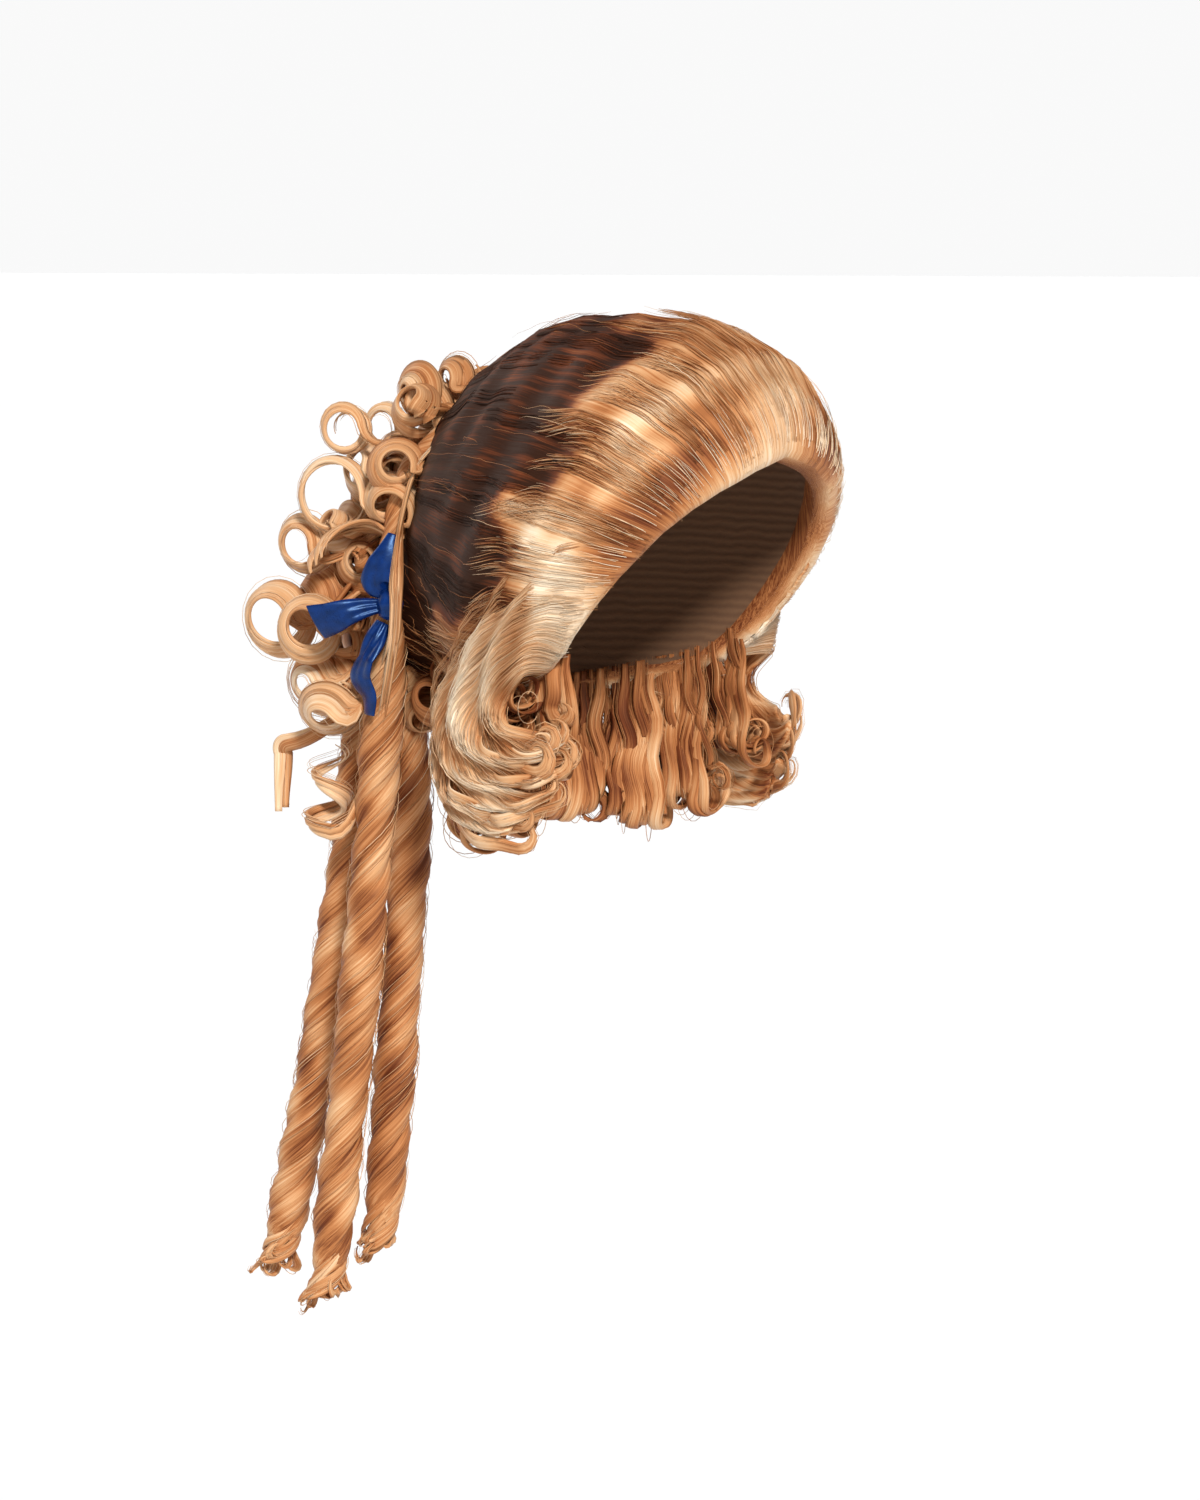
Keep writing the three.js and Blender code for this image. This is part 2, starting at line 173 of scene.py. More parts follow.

# %% [markdown]
# ## Hair material
#
# Every lock stores a `grain`, which says where a point would be if its lock were pulled straight:
# across the lock in millimetres, then along it. Noise that is fine across and long along the grain
# gives streaks that follow each lock, however it curls. A `tone` says how light the lock is, and in
# places it also carries painted highlights and painted shade.

# %% Hair
SHADOW_BROWN = (0.022, 0.0045, 0.0018)
DEEP_BROWN = (0.13, 0.029, 0.009)
WARM_GOLD = (0.40, 0.150, 0.050)
GOLD = (0.58, 0.31, 0.145)
PALE_GOLD = (0.72, 0.51, 0.32)
CREAM = (0.82, 0.70, 0.54)


def grain_noise(start, across, along):
    """Noise in streaks: across and along are the sizes of its patches in millimetres."""
    grain = start.node("Attribute", {"attribute_name": "grain"}, out="Vector")
    per_patch = (1 / across, 1 / across, 1 / along)
    scaled = start.node("VectorMath", {"operation": "MULTIPLY"}, in0=grain, in1=per_patch)
    return start.node("TexNoise", {"noise_dimensions": "3D"}, out="Fac", Vector=scaled, Scale=1.0, Detail=2.0)


# Sizes across and along of single fibres and of small bundles, then how far each shifts the tone.
FIBRE_SIZE, BUNDLE_SIZE = (0.42, 30), (1.5, 50)
FIBRE_SHIFT, BUNDLE_SHIFT = 0.5, 0.45
# How much rougher hair gets where it is dark, and from fibre to fibre.
DARK_DULL, FIBRE_DULL = 0.34, 0.3
HAIR_SHADES = [
    (0.0, SHADOW_BROWN), (0.22, DEEP_BROWN), (0.42, WARM_GOLD),
    (0.6, GOLD), (0.8, PALE_GOLD), (1.0, CREAM),
]


def hair_material(name, roughness):
    """Streaked hair, from brown to cream by its tone."""
    material, shader, start = new_material(name, Specular_IOR_Level=0.26, Specular_Tint=(1.0, 0.78, 0.5, 1))
    tree = material.node_tree
    fibre = grain_noise(start, *FIBRE_SIZE)
    bundle = grain_noise(start, *BUNDLE_SIZE)
    tone = start.node("Attribute", {"attribute_name": "tone"}, out="Fac")
    shade = (tone + (fibre - 0.5) * FIBRE_SHIFT + (bundle - 0.5) * BUNDLE_SHIFT).clamp()
    colour = start.node("ValToRGB", {"stops": HAIR_SHADES}, out="Color", Fac=shade)
    connect(tree, colour, shader.inputs["Base Color"])
    dull = (1 - tone) * DARK_DULL + (fibre - 0.5) * FIBRE_DULL + roughness
    connect(tree, dull, shader.inputs["Roughness"])
    height = fibre * 0.5 + bundle * 0.5
    lift = start.node("Bump", out="Normal", Strength=0.6, Distance=0.0006, Height=height)
    connect(tree, lift, shader.inputs["Normal"])
    return material


hair_finish = hair_material("combed_hair", 0.31)
curl_finish = hair_material("curled_hair", 0.29)
print("hair materials", hair_finish.name, curl_finish.name)

# %% [markdown]
# ## The shape of the head and of the hair on it
#
# The crown's solid was made from a few forms: a hollow for the head, a hairline, a roll behind the
# hairline, and a mound behind that carries the curls. The same forms are used here, so locks can be
# laid exactly on that surface.

# %% The surface of the hair
HEAD_HALF = np.array([72.0, 88.0, 82.0])
HAIRLINE = np.array([
    [0, 22], [13, 18.5], [25, 13.5], [33, 9], [41, 3], [49, -5.5], [56, -13],
    [63, -22], [71, -33], [82, -43], [100, -48], [130, -52], [180, -54],
])


def unit(v):
    return v / np.linalg.norm(v, axis=-1, keepdims=True)


def direction(from_face, elevation):
    """A way out of the head's middle: 0 at the face, 90 at the wearer's right, 180 behind."""
    turn, rise = np.radians(from_face), np.radians(elevation)
    level = np.cos(rise)
    return np.stack([-np.sin(turn) * level, -np.cos(turn) * level, np.sin(rise) + 0 * turn], axis=-1)


def rim_direction(from_face):
    folded = 180 - np.abs(180 - np.asarray(from_face, float) % 360)
    return direction(from_face, np.interp(folded, HAIRLINE[:, 0], HAIRLINE[:, 1]))


def ease(x, low, high):
    t = np.clip((x - low) / (high - low), 0, 1)
    return t * t * (3 - 2 * t)


def mix(a, b, share):
    return a + (b - a) * share


RIM_SAMPLES = rim_direction(np.arange(0, 360, 4.0))
GATHER = direction(180, 8)
DIP_MIDDLE = direction(112, 5)
MOUND_MIDDLE = direction(181, -20)


def head_radius(d):
    return 1 / np.linalg.norm(d / HEAD_HALF, axis=-1)


def distance_from_rim(d):
    """Millimetres to the rim, measured to the two short edges beside the nearest sample."""
    flat = d.reshape(-1, 3)
    near = (flat @ RIM_SAMPLES.T).argmax(axis=1)
    chord = np.full(len(flat), np.inf)
    for first in (near - 1, near):
        a = RIM_SAMPLES[first % len(RIM_SAMPLES)]
        span = RIM_SAMPLES[(first + 1) % len(RIM_SAMPLES)] - a
        share = np.clip(((flat - a) * span).sum(axis=1) / (span**2).sum(axis=1), 0, 1)
        chord = np.minimum(chord, np.linalg.norm(flat - a - span * share[:, None], axis=1))
    return (chord * HEAD_HALF.mean()).reshape(d.shape[:-1])


def angle_to(d, way):
    return np.degrees(np.arccos(np.clip(d @ way, -1, 1)))


# Millimetres of hair at the rim, behind and in front, then the forms that are added to it.
RIM_LEVEL, BACK_LEVEL, FRONT_LEVEL, EDGE_ROUND = 6, 8, 12, 14
DIP_DEPTH, DIP_SPREAD = 3, 28
WAVE_HEIGHT, WAVE_MIDDLE, WAVE_SPREAD, WAVE_TURN = 1.5, 85, 50, 24
ROLL_HEIGHT, ROLL_INSET, ROLL_SPREAD = 7, 36, 27
MOUND_HEIGHT, MOUND_SPREAD = 32, 24


def hair_height(d):
    """Millimetres that the combed hair stands off the head."""
    inset = distance_from_rim(d)
    from_face = np.degrees(np.abs(np.arctan2(d[..., 0], -d[..., 1])))
    elevation = np.degrees(np.arcsin(np.clip(d[..., 2], -1, 1)))
    right_side = np.stack([-np.abs(d[..., 0]), d[..., 1], d[..., 2]], axis=-1)
    front = 1 - ease(d[..., 1], 0.1, 0.85)
    edge = np.sqrt(1 - (1 - np.minimum(1, inset / EDGE_ROUND)) ** 2)
    dip = DIP_DEPTH * np.exp(-((angle_to(right_side, DIP_MIDDLE) / DIP_SPREAD) ** 2))
    nearness = np.exp(-(((from_face - WAVE_MIDDLE) / WAVE_SPREAD) ** 2))
    wave = WAVE_HEIGHT * np.hypot(d[..., 0], d[..., 1]) * nearness
    wave = wave * np.cos(np.radians((from_face + elevation * 0.5) * 360 / WAVE_TURN))
    roll = ROLL_HEIGHT * front * np.exp(-(((inset - ROLL_INSET) / ROLL_SPREAD) ** 2))
    level = mix(BACK_LEVEL, FRONT_LEVEL, front) - dip + wave + roll
    mound = MOUND_HEIGHT * np.exp(-((angle_to(d, MOUND_MIDDLE) / MOUND_SPREAD) ** 3)) * edge
    return mix(RIM_LEVEL, level, edge) + mound


def on_hair(d, extra=0.0):
    return HEAD + d * (head_radius(d) + hair_height(d) + extra)[..., None]


print("crown top at", on_hair(direction(0.0, 90.0)).round(1))

# %% [markdown]
# ## One lock, and a tress of many
#
# A lock is swept along a line: at each point the line has a direction, a side along which the lock is
# wide, and a thin side across. `Tress` gathers many locks into one mesh, because thousands of objects
# would be slow and a tress is what is pinned to a wig in one go.


# %% Locks and tresses
class Tress:
    """Collects swept locks, then makes one object of them."""

    def __init__(self):
        self.points, self.faces, self.grain, self.tone = [], [], [], []
        self.count = 0

    def add_rings(self, rings, grain, tone):
        """One closed skin over rings of points, with a fan of triangles over each end."""
        rows, sides = rings.shape[:2]
        ends = np.array([rings[0].mean(axis=0), rings[-1].mean(axis=0)])
        end_grain = np.array([grain[0].mean(axis=0), grain[-1].mean(axis=0)])
        self.points.append(np.concatenate([rings.reshape(-1, 3), ends]))
        self.grain.append(np.concatenate([grain.reshape(-1, 3), end_grain]))
        self.tone.append(np.concatenate([tone.reshape(-1), [tone[0].mean(), tone[-1].mean()]]))
        i, k = np.meshgrid(np.arange(rows - 1), np.arange(sides), indexing="ij")
        a = i * sides + k
        b = i * sides + (k + 1) % sides
        quads = np.stack([a, b, b + sides, a + sides], axis=-1).reshape(-1, 4) + self.count
        k = np.arange(sides)
        first, last = rows * sides, (rows - 1) * sides
        start = np.stack([0 * k + first, (k + 1) % sides, k], axis=-1) + self.count
        end = np.stack([0 * k + first + 1, last + k, last + (k + 1) % sides], axis=-1) + self.count
        self.faces += [quads.tolist(), start.tolist(), end.tolist()]
        self.count += len(self.points[-1])

    def add_rods(self, rings, grain, tone):
        """Many thin rods at once, each closed with one flat face at either end."""
        many, rows, sides = rings.shape[:3]
        j, i, k = np.meshgrid(np.arange(many), np.arange(rows - 1), np.arange(sides), indexing="ij")
        a = (j * rows + i) * sides + k
        b = (j * rows + i) * sides + (k + 1) % sides
        quads = np.stack([a, b, b + sides, a + sides], axis=-1).reshape(-1, 4) + self.count
        start = np.arange(many)[:, None] * rows * sides + np.arange(sides)[::-1] + self.count
        end = np.arange(many)[:, None] * rows * sides + (rows - 1) * sides + np.arange(sides) + self.count
        self.points.append(rings.reshape(-1, 3))
        self.grain.append(grain.reshape(-1, 3))
        self.tone.append(tone.reshape(-1))
        self.faces += [quads.tolist(), start.tolist(), end.tolist()]
        self.count += rings.size // 3

    def make(self, name, material):
        mesh = bpy.data.meshes.new(name)
        faces = [face for group in self.faces for face in group]
        mesh.from_pydata((np.concatenate(self.points) * MM).tolist(), [], faces)
        grain = mesh.attributes.new("grain", "FLOAT_VECTOR", "POINT")
        grain.data.foreach_set("vector", np.concatenate(self.grain).astype(np.float32).ravel())
        tone = mesh.attributes.new("tone", "FLOAT", "POINT")
        tone.data.foreach_set("value", np.concatenate(self.tone).astype(np.float32))
        mesh.materials.append(material)
        mesh.polygons.foreach_set("use_smooth", [True] * len(mesh.polygons))
        piece = bpy.data.objects.new(name, mesh)
        bpy.context.collection.objects.link(piece)
        triangles = sum(len(face) - 2 for face in faces)
        print(name, triangles, "triangles")
        return piece


def hang(piece, slot, node=None):
    """Puts a piece on the wig's one body, in place of the node that it dresses; the slot is not used."""
    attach(piece, "root")
    if node:
        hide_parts(node)


def sweep_frame(line, wide):
    """The ways along, across and through a flat lock at each point of its line."""
    along = unit(np.gradient(line, axis=0))
    wide = np.broadcast_to(wide, line.shape)
    side = unit(wide - (wide * along).sum(axis=1, keepdims=True) * along)
    return along, side, np.cross(along, side)


def lengths_along(line):
    return np.concatenate([[0], np.cumsum(np.linalg.norm(np.diff(line, axis=0), axis=1))])


LOCK_LUMPS = 3


def add_lock(tress, rng, line, wide, width, thickness, tone,
             sides=8, ridge=0.12, root=0.5, tip=0.35, flare=0.0):
    """Sweeps a flat bundle of fibres along a line, narrower at its root and its tip."""
    _, side, thick = sweep_frame(line, wide)
    lean = math.radians(flare)
    flat, upright = math.cos(lean), math.sin(lean)
    side, thick = side * flat + thick * upright, thick * flat - side * upright
    run = lengths_along(line)
    share = run / run[-1]
    taper = mix(root, 1, ease(share, 0, 0.2)) * mix(tip, 1, ease(1 - share, 0, 0.25))
    angle = np.arange(sides) * 2 * np.pi / sides
    drift = share[:, None] * 2 * rng.uniform(-1, 1) + rng.uniform(0, 6.28)
    lumps = ridge * np.cos(LOCK_LUMPS * angle[None, :] + drift)
    fine_lumps = ridge / 2 * np.cos(2 * LOCK_LUMPS * angle[None, :] - drift)
    bulge = 1 + lumps + fine_lumps
    w = (width / 2 * taper)[:, None] * np.cos(angle) * bulge
    t = (thickness / 2 * taper)[:, None] * np.sin(angle) * bulge
    rings = line[:, None] + side[:, None] * w[..., None] + thick[:, None] * t[..., None]
    grain = np.stack([w, t, run[:, None] + 0 * w], axis=-1) + rng.uniform(-400, 400, 3)
    shade = np.broadcast_to(np.asarray(tone, float).reshape(-1, 1), w.shape) + rng.normal(0, 0.05)
    tress.add_rings(rings, grain, shade)


def add_strands(tress, rng, lines, radius, tone):
    """Many single fibres at once, each a thin three-sided rod that narrows at both ends."""
    many, count = lines.shape[:2]
    along = unit(np.gradient(lines, axis=1))
    side = unit(np.cross(along, np.array([0.31, 0.52, 0.8])))
    thick = np.cross(along, side)
    share = np.linspace(0, 1, count)
    fade = mix(0.35, 1, np.minimum(1, np.minimum(share * 8, (1 - share) * 5)))
    reach = (np.broadcast_to(radius, (many,))[:, None] * fade)[..., None]
    angle = np.arange(3) * 2 * np.pi / 3
    w, t = reach * np.cos(angle), reach * np.sin(angle)
    rings = lines[:, :, None] + side[:, :, None] * w[..., None] + thick[:, :, None] * t[..., None]
    steps = np.linalg.norm(np.diff(lines, axis=1), axis=2)
    run = np.concatenate([np.zeros((many, 1)), np.cumsum(steps, axis=1)], axis=1)
    grain = np.stack([w, t, run[..., None] + 0 * w], axis=-1) + rng.uniform(-400, 400, (many, 1, 1, 3))
    tones = np.broadcast_to(tone, (many, count)) + rng.normal(0, 0.05, (many, 1))
    tress.add_rods(rings, grain, np.repeat(tones[..., None], 3, axis=2))


def turned(v, axis, degrees):
    """v turned about an axis by an angle."""
    angle = math.radians(degrees)
    on_axis = axis * (axis @ v)
    return v * math.cos(angle) + np.cross(axis, v) * math.sin(angle) + on_axis * (1 - math.cos(angle))


def smooth_line(points, count):
    """A Catmull-Rom line through points, with count points spread evenly along it."""
    points = np.asarray(points, float)
    padded = np.vstack([2 * points[0] - points[1], points, 2 * points[-1] - points[-2]])
    steps = np.sqrt(np.linalg.norm(np.diff(padded, axis=0), axis=1))
    knots = np.concatenate([[0], np.cumsum(steps)])
    dense = []
    for i in range(1, len(padded) - 2):
        t = np.linspace(knots[i], knots[i + 1], 24, endpoint=i == len(padded) - 3)[:, None]
        t0, t1, t2, t3 = knots[i - 1:i + 3]
        p0, p1, p2, p3 = padded[i - 1:i + 3]
        a1 = (t1 - t) / (t1 - t0) * p0 + (t - t0) / (t1 - t0) * p1
        a2 = (t2 - t) / (t2 - t1) * p1 + (t - t1) / (t2 - t1) * p2
        a3 = (t3 - t) / (t3 - t2) * p2 + (t - t2) / (t3 - t2) * p3
        b1 = (t2 - t) / (t2 - t0) * a1 + (t - t0) / (t2 - t0) * a2
        b2 = (t3 - t) / (t3 - t1) * a2 + (t - t1) / (t3 - t1) * a3
        dense.append((t2 - t) / (t2 - t1) * b1 + (t - t1) / (t2 - t1) * b2)
    dense = np.vstack(dense)
    run = lengths_along(dense)
    even = np.linspace(0, run[-1], count)
    return np.stack([np.interp(even, run, dense[:, k]) for k in range(3)], axis=1)


print("lock helpers ready")

# %% [markdown]
# ## The combed crown
#
# The hair is combed from the hairline up over a padded roll, down into a valley behind it, and
# gathered at the back. The base is one closed shell whose spokes run the way the comb went, so ridges
# between spokes are already the grooves between locks.

# %% Spokes of the comb
COMB_SWEEP, SWEEP_TO = 0.17, 120


def comb_line(from_face, shares, sway=0.0):
    """Ways out of the head along the comb's path from the hairline to the gather.

    The path bows up in front and down at the sides."""
    signed = (from_face + 180) % 360 - 180
    if abs(signed) < SWEEP_TO:
        sway = sway - COMB_SWEEP * math.sin(2 * math.pi * signed / SWEEP_TO)
    rim = rim_direction(from_face)
    axis = unit(np.cross(rim, GATHER))
    whole = np.arccos(np.clip(rim @ GATHER, -1, 1))
    turn = (whole * shares)[:, None]
    ways = rim * np.cos(turn) + np.cross(axis, rim) * np.sin(turn)
    return unit(ways + axis * (sway * np.sin(np.pi * shares))[:, None])


print("comb sweep", COMB_SWEEP)

# %% [markdown]
# ## Pale roll, dark valley
#
# The hair is pale on the roll and dark in the valley behind it, where its roots lie in shade; that dark
# is painted into the tone, partly as darker roots and partly as painted shade. One function says how deep
# in the valley a place is. The shape, the tones and the fibres all ask it, so they agree with each other.

# %% Valley, waves and tones
# Ways out of the head times this reach are about where the hair lies, in millimetres.
HAIR_REACH = 90
# How far behind the hairline the dark valley starts, by the angle of the spoke from the face.
VALLEY_START = np.array([
    [0, 76], [15, 63], [30, 56], [40, 50], [50, 43], [60, 36], [70, 28], [90, 24], [180, 24],
])
LOCKS_ROUND, VALLEY_SINK, CRIMP_LENGTH = 34, 2.0, 17.5
# Tones of the roll and of the valley; the valley's dark is partly darker hair and partly painted shade.
ROLL_TONE, VALLEY_TONE = 0.63, -0.02
rng = np.random.default_rng(3)
PATCH_WAVES = [(unit(rng.normal(size=3)), rng.uniform(0, 6.28), rng.uniform(0.7, 1.4)) for _ in range(9)]


def patchy(points, size):
    """Smooth random patches of about a size in millimetres, from about -1 to 1."""
    turns = [np.sin(points @ way * (pitch * np.pi / size) + start) for way, start, pitch in PATCH_WAVES]
    return np.clip(sum(turns) / 3, -1, 1)


def patches(d, size):
    """The same patches where the hair lies in a way out of the head."""
    return patchy(d * HAIR_REACH, size)


def valley_edge(from_face):
    """Millimetres from the hairline to the valley, scalloped by the locks of the roll."""
    folded = 180 - np.abs(180 - from_face % 360)
    phase = np.radians(from_face) * LOCKS_ROUND / 2
    scallop = 5 * np.sin(phase) + 2.5 * np.sin(2.3 * phase + 1)
    return np.interp(folded, VALLEY_START[:, 0], VALLEY_START[:, 1]) + scallop


def valley(d, from_face):
    """0 on the roll, 1 in the dark valley behind it."""
    past = distance_from_rim(d) - valley_edge(from_face)
    return ease(past + 5 * patches(d, 16), -9, 8)


def crimp(d):
    """Where the combed hair waves up, 1, or down, -1, as it runs back from the hairline."""
    inset = distance_from_rim(d)
    bend = 2.4 * patches(d, 52)
    return np.sin(inset * 2 * np.pi / CRIMP_LENGTH + bend) * ease(inset, 10, 30)


def relief(d, from_face):
    """Millimetres that the combed hair stands above the plain form."""
    return 0.5 * crimp(d) + 0.35 * patches(d, 18) - VALLEY_SINK * valley(d, from_face)


def crown_tone(d, from_face):
    """How light the combed hair is: pale at the hairline, uneven on the roll, dark in the valley, with
    painted light and shade on the crimp, the front and the valley.
    """
    inset = distance_from_rim(d)
    top = ease(d[..., 2], 0.6, 0.92)
    front = ease(-d[..., 1], 0.1, 0.9)
    # The front is darker, a painted shade.
    edge = 0.1 * np.exp(-((inset / 6) ** 2)) - 0.16 * front
    # The crimp's crests are lighter and its troughs darker: painted highlight and painted shade.
    light = ROLL_TONE + edge + 0.11 * crimp(d) + 0.26 * patches(d, 26)
    # In the valley the top is lighter, a painted light from above; the rest is partly darker hair, partly
    # painted shade.
    dark = VALLEY_TONE + 0.09 * top + 0.06 * crimp(d) + 0.07 * patches(d, 13)
    return mix(light, dark, valley(d, from_face))


print("valley starts", VALLEY_START[0, 1], "mm behind the hairline at the face")

# %% Rows and spokes of the outer wall
rng = np.random.default_rng(7)
SPOKES, OUTER_ROWS = 260, 64
RIDGE_COUNTS, RIDGE_HEIGHT = (19, 31, 47, 71), 0.12
outer_shares = np.linspace(0, 1, OUTER_ROWS + 1)[:-1] ** 1.15
around = np.arange(SPOKES) * 360 / SPOKES
RIDGES = [(count, rng.uniform(0, 6.28), rng.uniform(-6, 6)) for count in RIDGE_COUNTS]
outer, outer_grain, outer_tone = [], [], []
for from_face in around:
    ways = comb_line(from_face, outer_shares)
    fade = ease(outer_shares, 0.01, 0.12) * (1 - 0.6 * outer_shares)
    turn = math.radians(from_face)
    ridges = sum(
        RIDGE_HEIGHT * np.sin(count * turn + start + bend * outer_shares) for count, start, bend in RIDGES
    )
    points = on_hair(ways, ridges * fade + relief(ways, from_face))
    outer.append(points)
    run = lengths_along(points)
    x, y = HAIR_REACH * math.cos(turn), HAIR_REACH * math.sin(turn)
    outer_grain.append(np.stack([x + 0 * run, y + 0 * run, run], axis=1))
    outer_tone.append(crown_tone(ways, from_face))
outer = np.stack(outer, axis=1)
print("crown outer", outer.shape, "rows and spokes")

# %% Inner wall and the shell
INNER_ROWS, INNER_TONE = 16, 0.3
inner_shares = np.linspace(0, 1, INNER_ROWS + 1)[:-1][::-1]
inner_ways = [comb_line(from_face, inner_shares) for from_face in around]
inner = np.stack([HEAD + ways * head_radius(ways)[:, None] for ways in inner_ways], axis=1)
crown = Tress()
crown.add_rings(
    np.concatenate([inner, outer]),
    np.concatenate([inner, np.stack(outer_grain, axis=1)]),
    np.concatenate([np.full(inner.shape[:2], INNER_TONE), np.stack(outer_tone, axis=1)]),
)
crown_piece = crown.make("combed_crown", hair_finish)
hang(crown_piece, "hair_light", "crown_hair")

# %% [markdown]
# ## The cap inside
#
# With no head in it, the wig's inside shows at the face. A machine-made wig is wefts of hair sewn in
# rows to a thin cap, so the inner wall gets its own cloth, with a row of stitching every few
# millimetres.

# %% Weft rows inside
ROW_SCALE, WEAVE_SCALE = 85.0, 900.0
CAP_BROWN, CAP_TAN = (0.115, 0.053, 0.024, 1), (0.175, 0.086, 0.04, 1)
cap_finish, cap_shader, cap = new_material("weft_cap", Roughness=0.85)
place = cap.node("TexCoord", out="Object")
rows = cap.node("TexWave", {"bands_direction": "Z", "wave_profile": "SIN"}, out="Fac",
                Vector=place, Scale=ROW_SCALE, Distortion=2.5, Detail=3.0)
weave = cap.node("TexNoise", out="Fac", Vector=place, Scale=WEAVE_SCALE, Detail=2.0)
cap_colour = cap.node("Mix", {"data_type": "RGBA"}, out=2, Factor=rows * 0.7 + weave * 0.3,
                      in6=CAP_BROWN, in7=CAP_TAN)
connect(cap_finish.node_tree, cap_colour, cap_shader.inputs["Base Color"])
cap_lift = cap.node("Bump", out="Normal", Strength=0.35, Distance=0.0006, Height=rows + weave * 0.4)
connect(cap_finish.node_tree, cap_lift, cap_shader.inputs["Normal"])
crown_piece.data.materials.append(cap_finish)
# The cap covers the inner rows, but for two at the hairline, and the fan that closes them at the gather.
cap_faces, crown_quads = (INNER_ROWS - 2) * SPOKES, (INNER_ROWS + OUTER_ROWS - 1) * SPOKES
slots = np.zeros(len(crown_piece.data.polygons), int)
slots[:cap_faces] = 1
slots[crown_quads:crown_quads + SPOKES] = 1
crown_piece.data.polygons.foreach_set("material_index", slots)
print("cap faces", cap_faces + SPOKES)

# %% [markdown]
# ## Fibres over the crown
#
# A smooth shell alone looks moulded. Fibres are laid along the comb in clumps that wave together, as
# brushed hair does. The clumps of the roll end in tufts that stand up over the dark valley, and a few
# hundred strays lift off and give the soft edge that real hair has.

# %% Fibres laid along the comb
STRAND_POINTS, CLUMP_FIBRES = 15, 14


def add_clump(tress, rng, from_face, first, last, spread, lift, radius, tuft=0.0, flick=0.0):
    """Fibres that start side by side and draw together along the comb, waving as one lock.

    A tuft's tips lift off the hair, end unevenly and flick aside."""
    shares = np.linspace(first, last, STRAND_POINTS)
    step = np.linspace(0, 1, STRAND_POINTS)
    column = (CLUMP_FIBRES, 1)
    ways = comb_line(from_face, shares, sway=rng.normal(0, 0.02))
    across = unit(np.cross(np.gradient(ways, axis=0), ways))
    inset = distance_from_rim(ways)
    wave = 0.9 * ease(inset, 20, 70) * np.sin(inset * 2 * np.pi / 19 + from_face / 9 + rng.normal(0, 0.5))
    place = rng.uniform(-1, 1, column)
    wander = rng.normal(0, 0.35, column)
    wander = wander * np.sin(np.linspace(0, 4, STRAND_POINTS) + rng.uniform(0, 6, column))
    aside = place * spread * mix(1, 0.5 + 0.2 * tuft, step) + wave + wander
    aside = aside - tuft * flick * ease(step, 0.6, 1.1)
    d = unit(ways + across * (aside / 95)[..., None])
    dome = lift * (1 - place**2) * np.sin(np.pi * step) ** 0.5
    dome = dome + tuft * rng.uniform(0.3, 1.8, column) * step**3
    above = dome + rng.uniform(-0.05, 0.4, column) + relief(d, from_face) + tuft * VALLEY_SINK * step**3
    lines = on_hair(d, above)
    tone = crown_tone(d, from_face) + rng.normal(0, 0.05)
    tone = mix(tone, rng.uniform(0.34, 0.74, column), tuft * ease(step, 0.65, 0.95))
    spot = step * (STRAND_POINTS - 1) * (1 - tuft * rng.uniform(0, 0.34, column))
    low = np.minimum(spot.astype(int), STRAND_POINTS - 2)
    each = np.arange(CLUMP_FIBRES)[:, None]
    lines = mix(lines[each, low], lines[each, low + 1], (spot - low)[..., None])
    add_strands(tress, rng, lines, rng.uniform(radius * 0.7, radius * 1.3, CLUMP_FIBRES), tone)


def share_at(from_face, inset):
    """How far along its spoke the comb reaches an inset."""
    shares = np.linspace(0, 1, 60)
    reached = distance_from_rim(comb_line(from_face, shares)) >= inset
    return shares[reached.argmax()] if reached.any() else 1.0


print("fibre helpers ready")

# %% Clumps and tufts of both sides
CLUMPS, TUFTS, TUFT_GROUP = 50, 44, 4
CLUMP_STARTS, START_ODDS = [0.004, 0.02, 0.15, 0.3, 0.45], [0.3, 0.2, 0.18, 0.16, 0.16]
# The tufts stand between these turns from the face, and their tips flick this many millimetres aside.
TUFTS_FROM, TUFTS_OVER, TUFT_FLICK = -4, 82, 9
rng = np.random.default_rng(11)
for name, side, low_face in (("right_fibres", 1, -10), ("left_fibres", -1, 170)):
    tress = Tress()
    for _ in range(CLUMPS):
        from_face = rng.uniform(low_face, low_face + 180)
        first = rng.choice(CLUMP_STARTS, p=START_ODDS)
        last = min(0.985, first + rng.uniform(0.4, 0.75))
        add_clump(tress, rng, from_face, first, last, rng.uniform(3, 7), rng.uniform(0, 0.4), 0.17)
    for i in range(TUFTS):
        group = (i // TUFT_GROUP + 0.5) * TUFT_GROUP / TUFTS * TUFTS_OVER + TUFTS_FROM
        from_face = side * (group + rng.normal(0, 1.6)) % 360
        edge = valley_edge(from_face) + 6 * math.sin(5 * group) + rng.normal(4, 2)
        flick = side * (TUFT_FLICK + 3 * math.sin(3 * group) + rng.normal(0, 1.5))
        first, spread, lift = rng.uniform(0, 0.12), rng.uniform(3, 6.5), rng.uniform(0, 0.5)
        add_clump(tress, rng, from_face, first, share_at(from_face, edge), spread, lift, 0.15, 1.0, flick)
    hang(tress.make(name, hair_finish), "hair_light")

# %% Short hairs along the hairline
WISPS, WISP_TONE = 420, 0.86
hairline = Tress()
for _ in range(WISPS):
    from_face = rng.uniform(-100, 100) % 360
    reach = rng.uniform(5, 16)
    ways = comb_line(from_face, np.linspace(0, reach / 130, 7), sway=rng.normal(0, 0.05))
    rise = np.concatenate([[-6.2, -2.0], np.linspace(0.3, rng.uniform(0.5, 2.2), 5)])
    add_strands(hairline, rng, on_hair(ways, rise)[None], rng.uniform(0.09, 0.17), WISP_TONE)
hang(hairline.make("hairline_wisps", curl_finish), "hair_light")

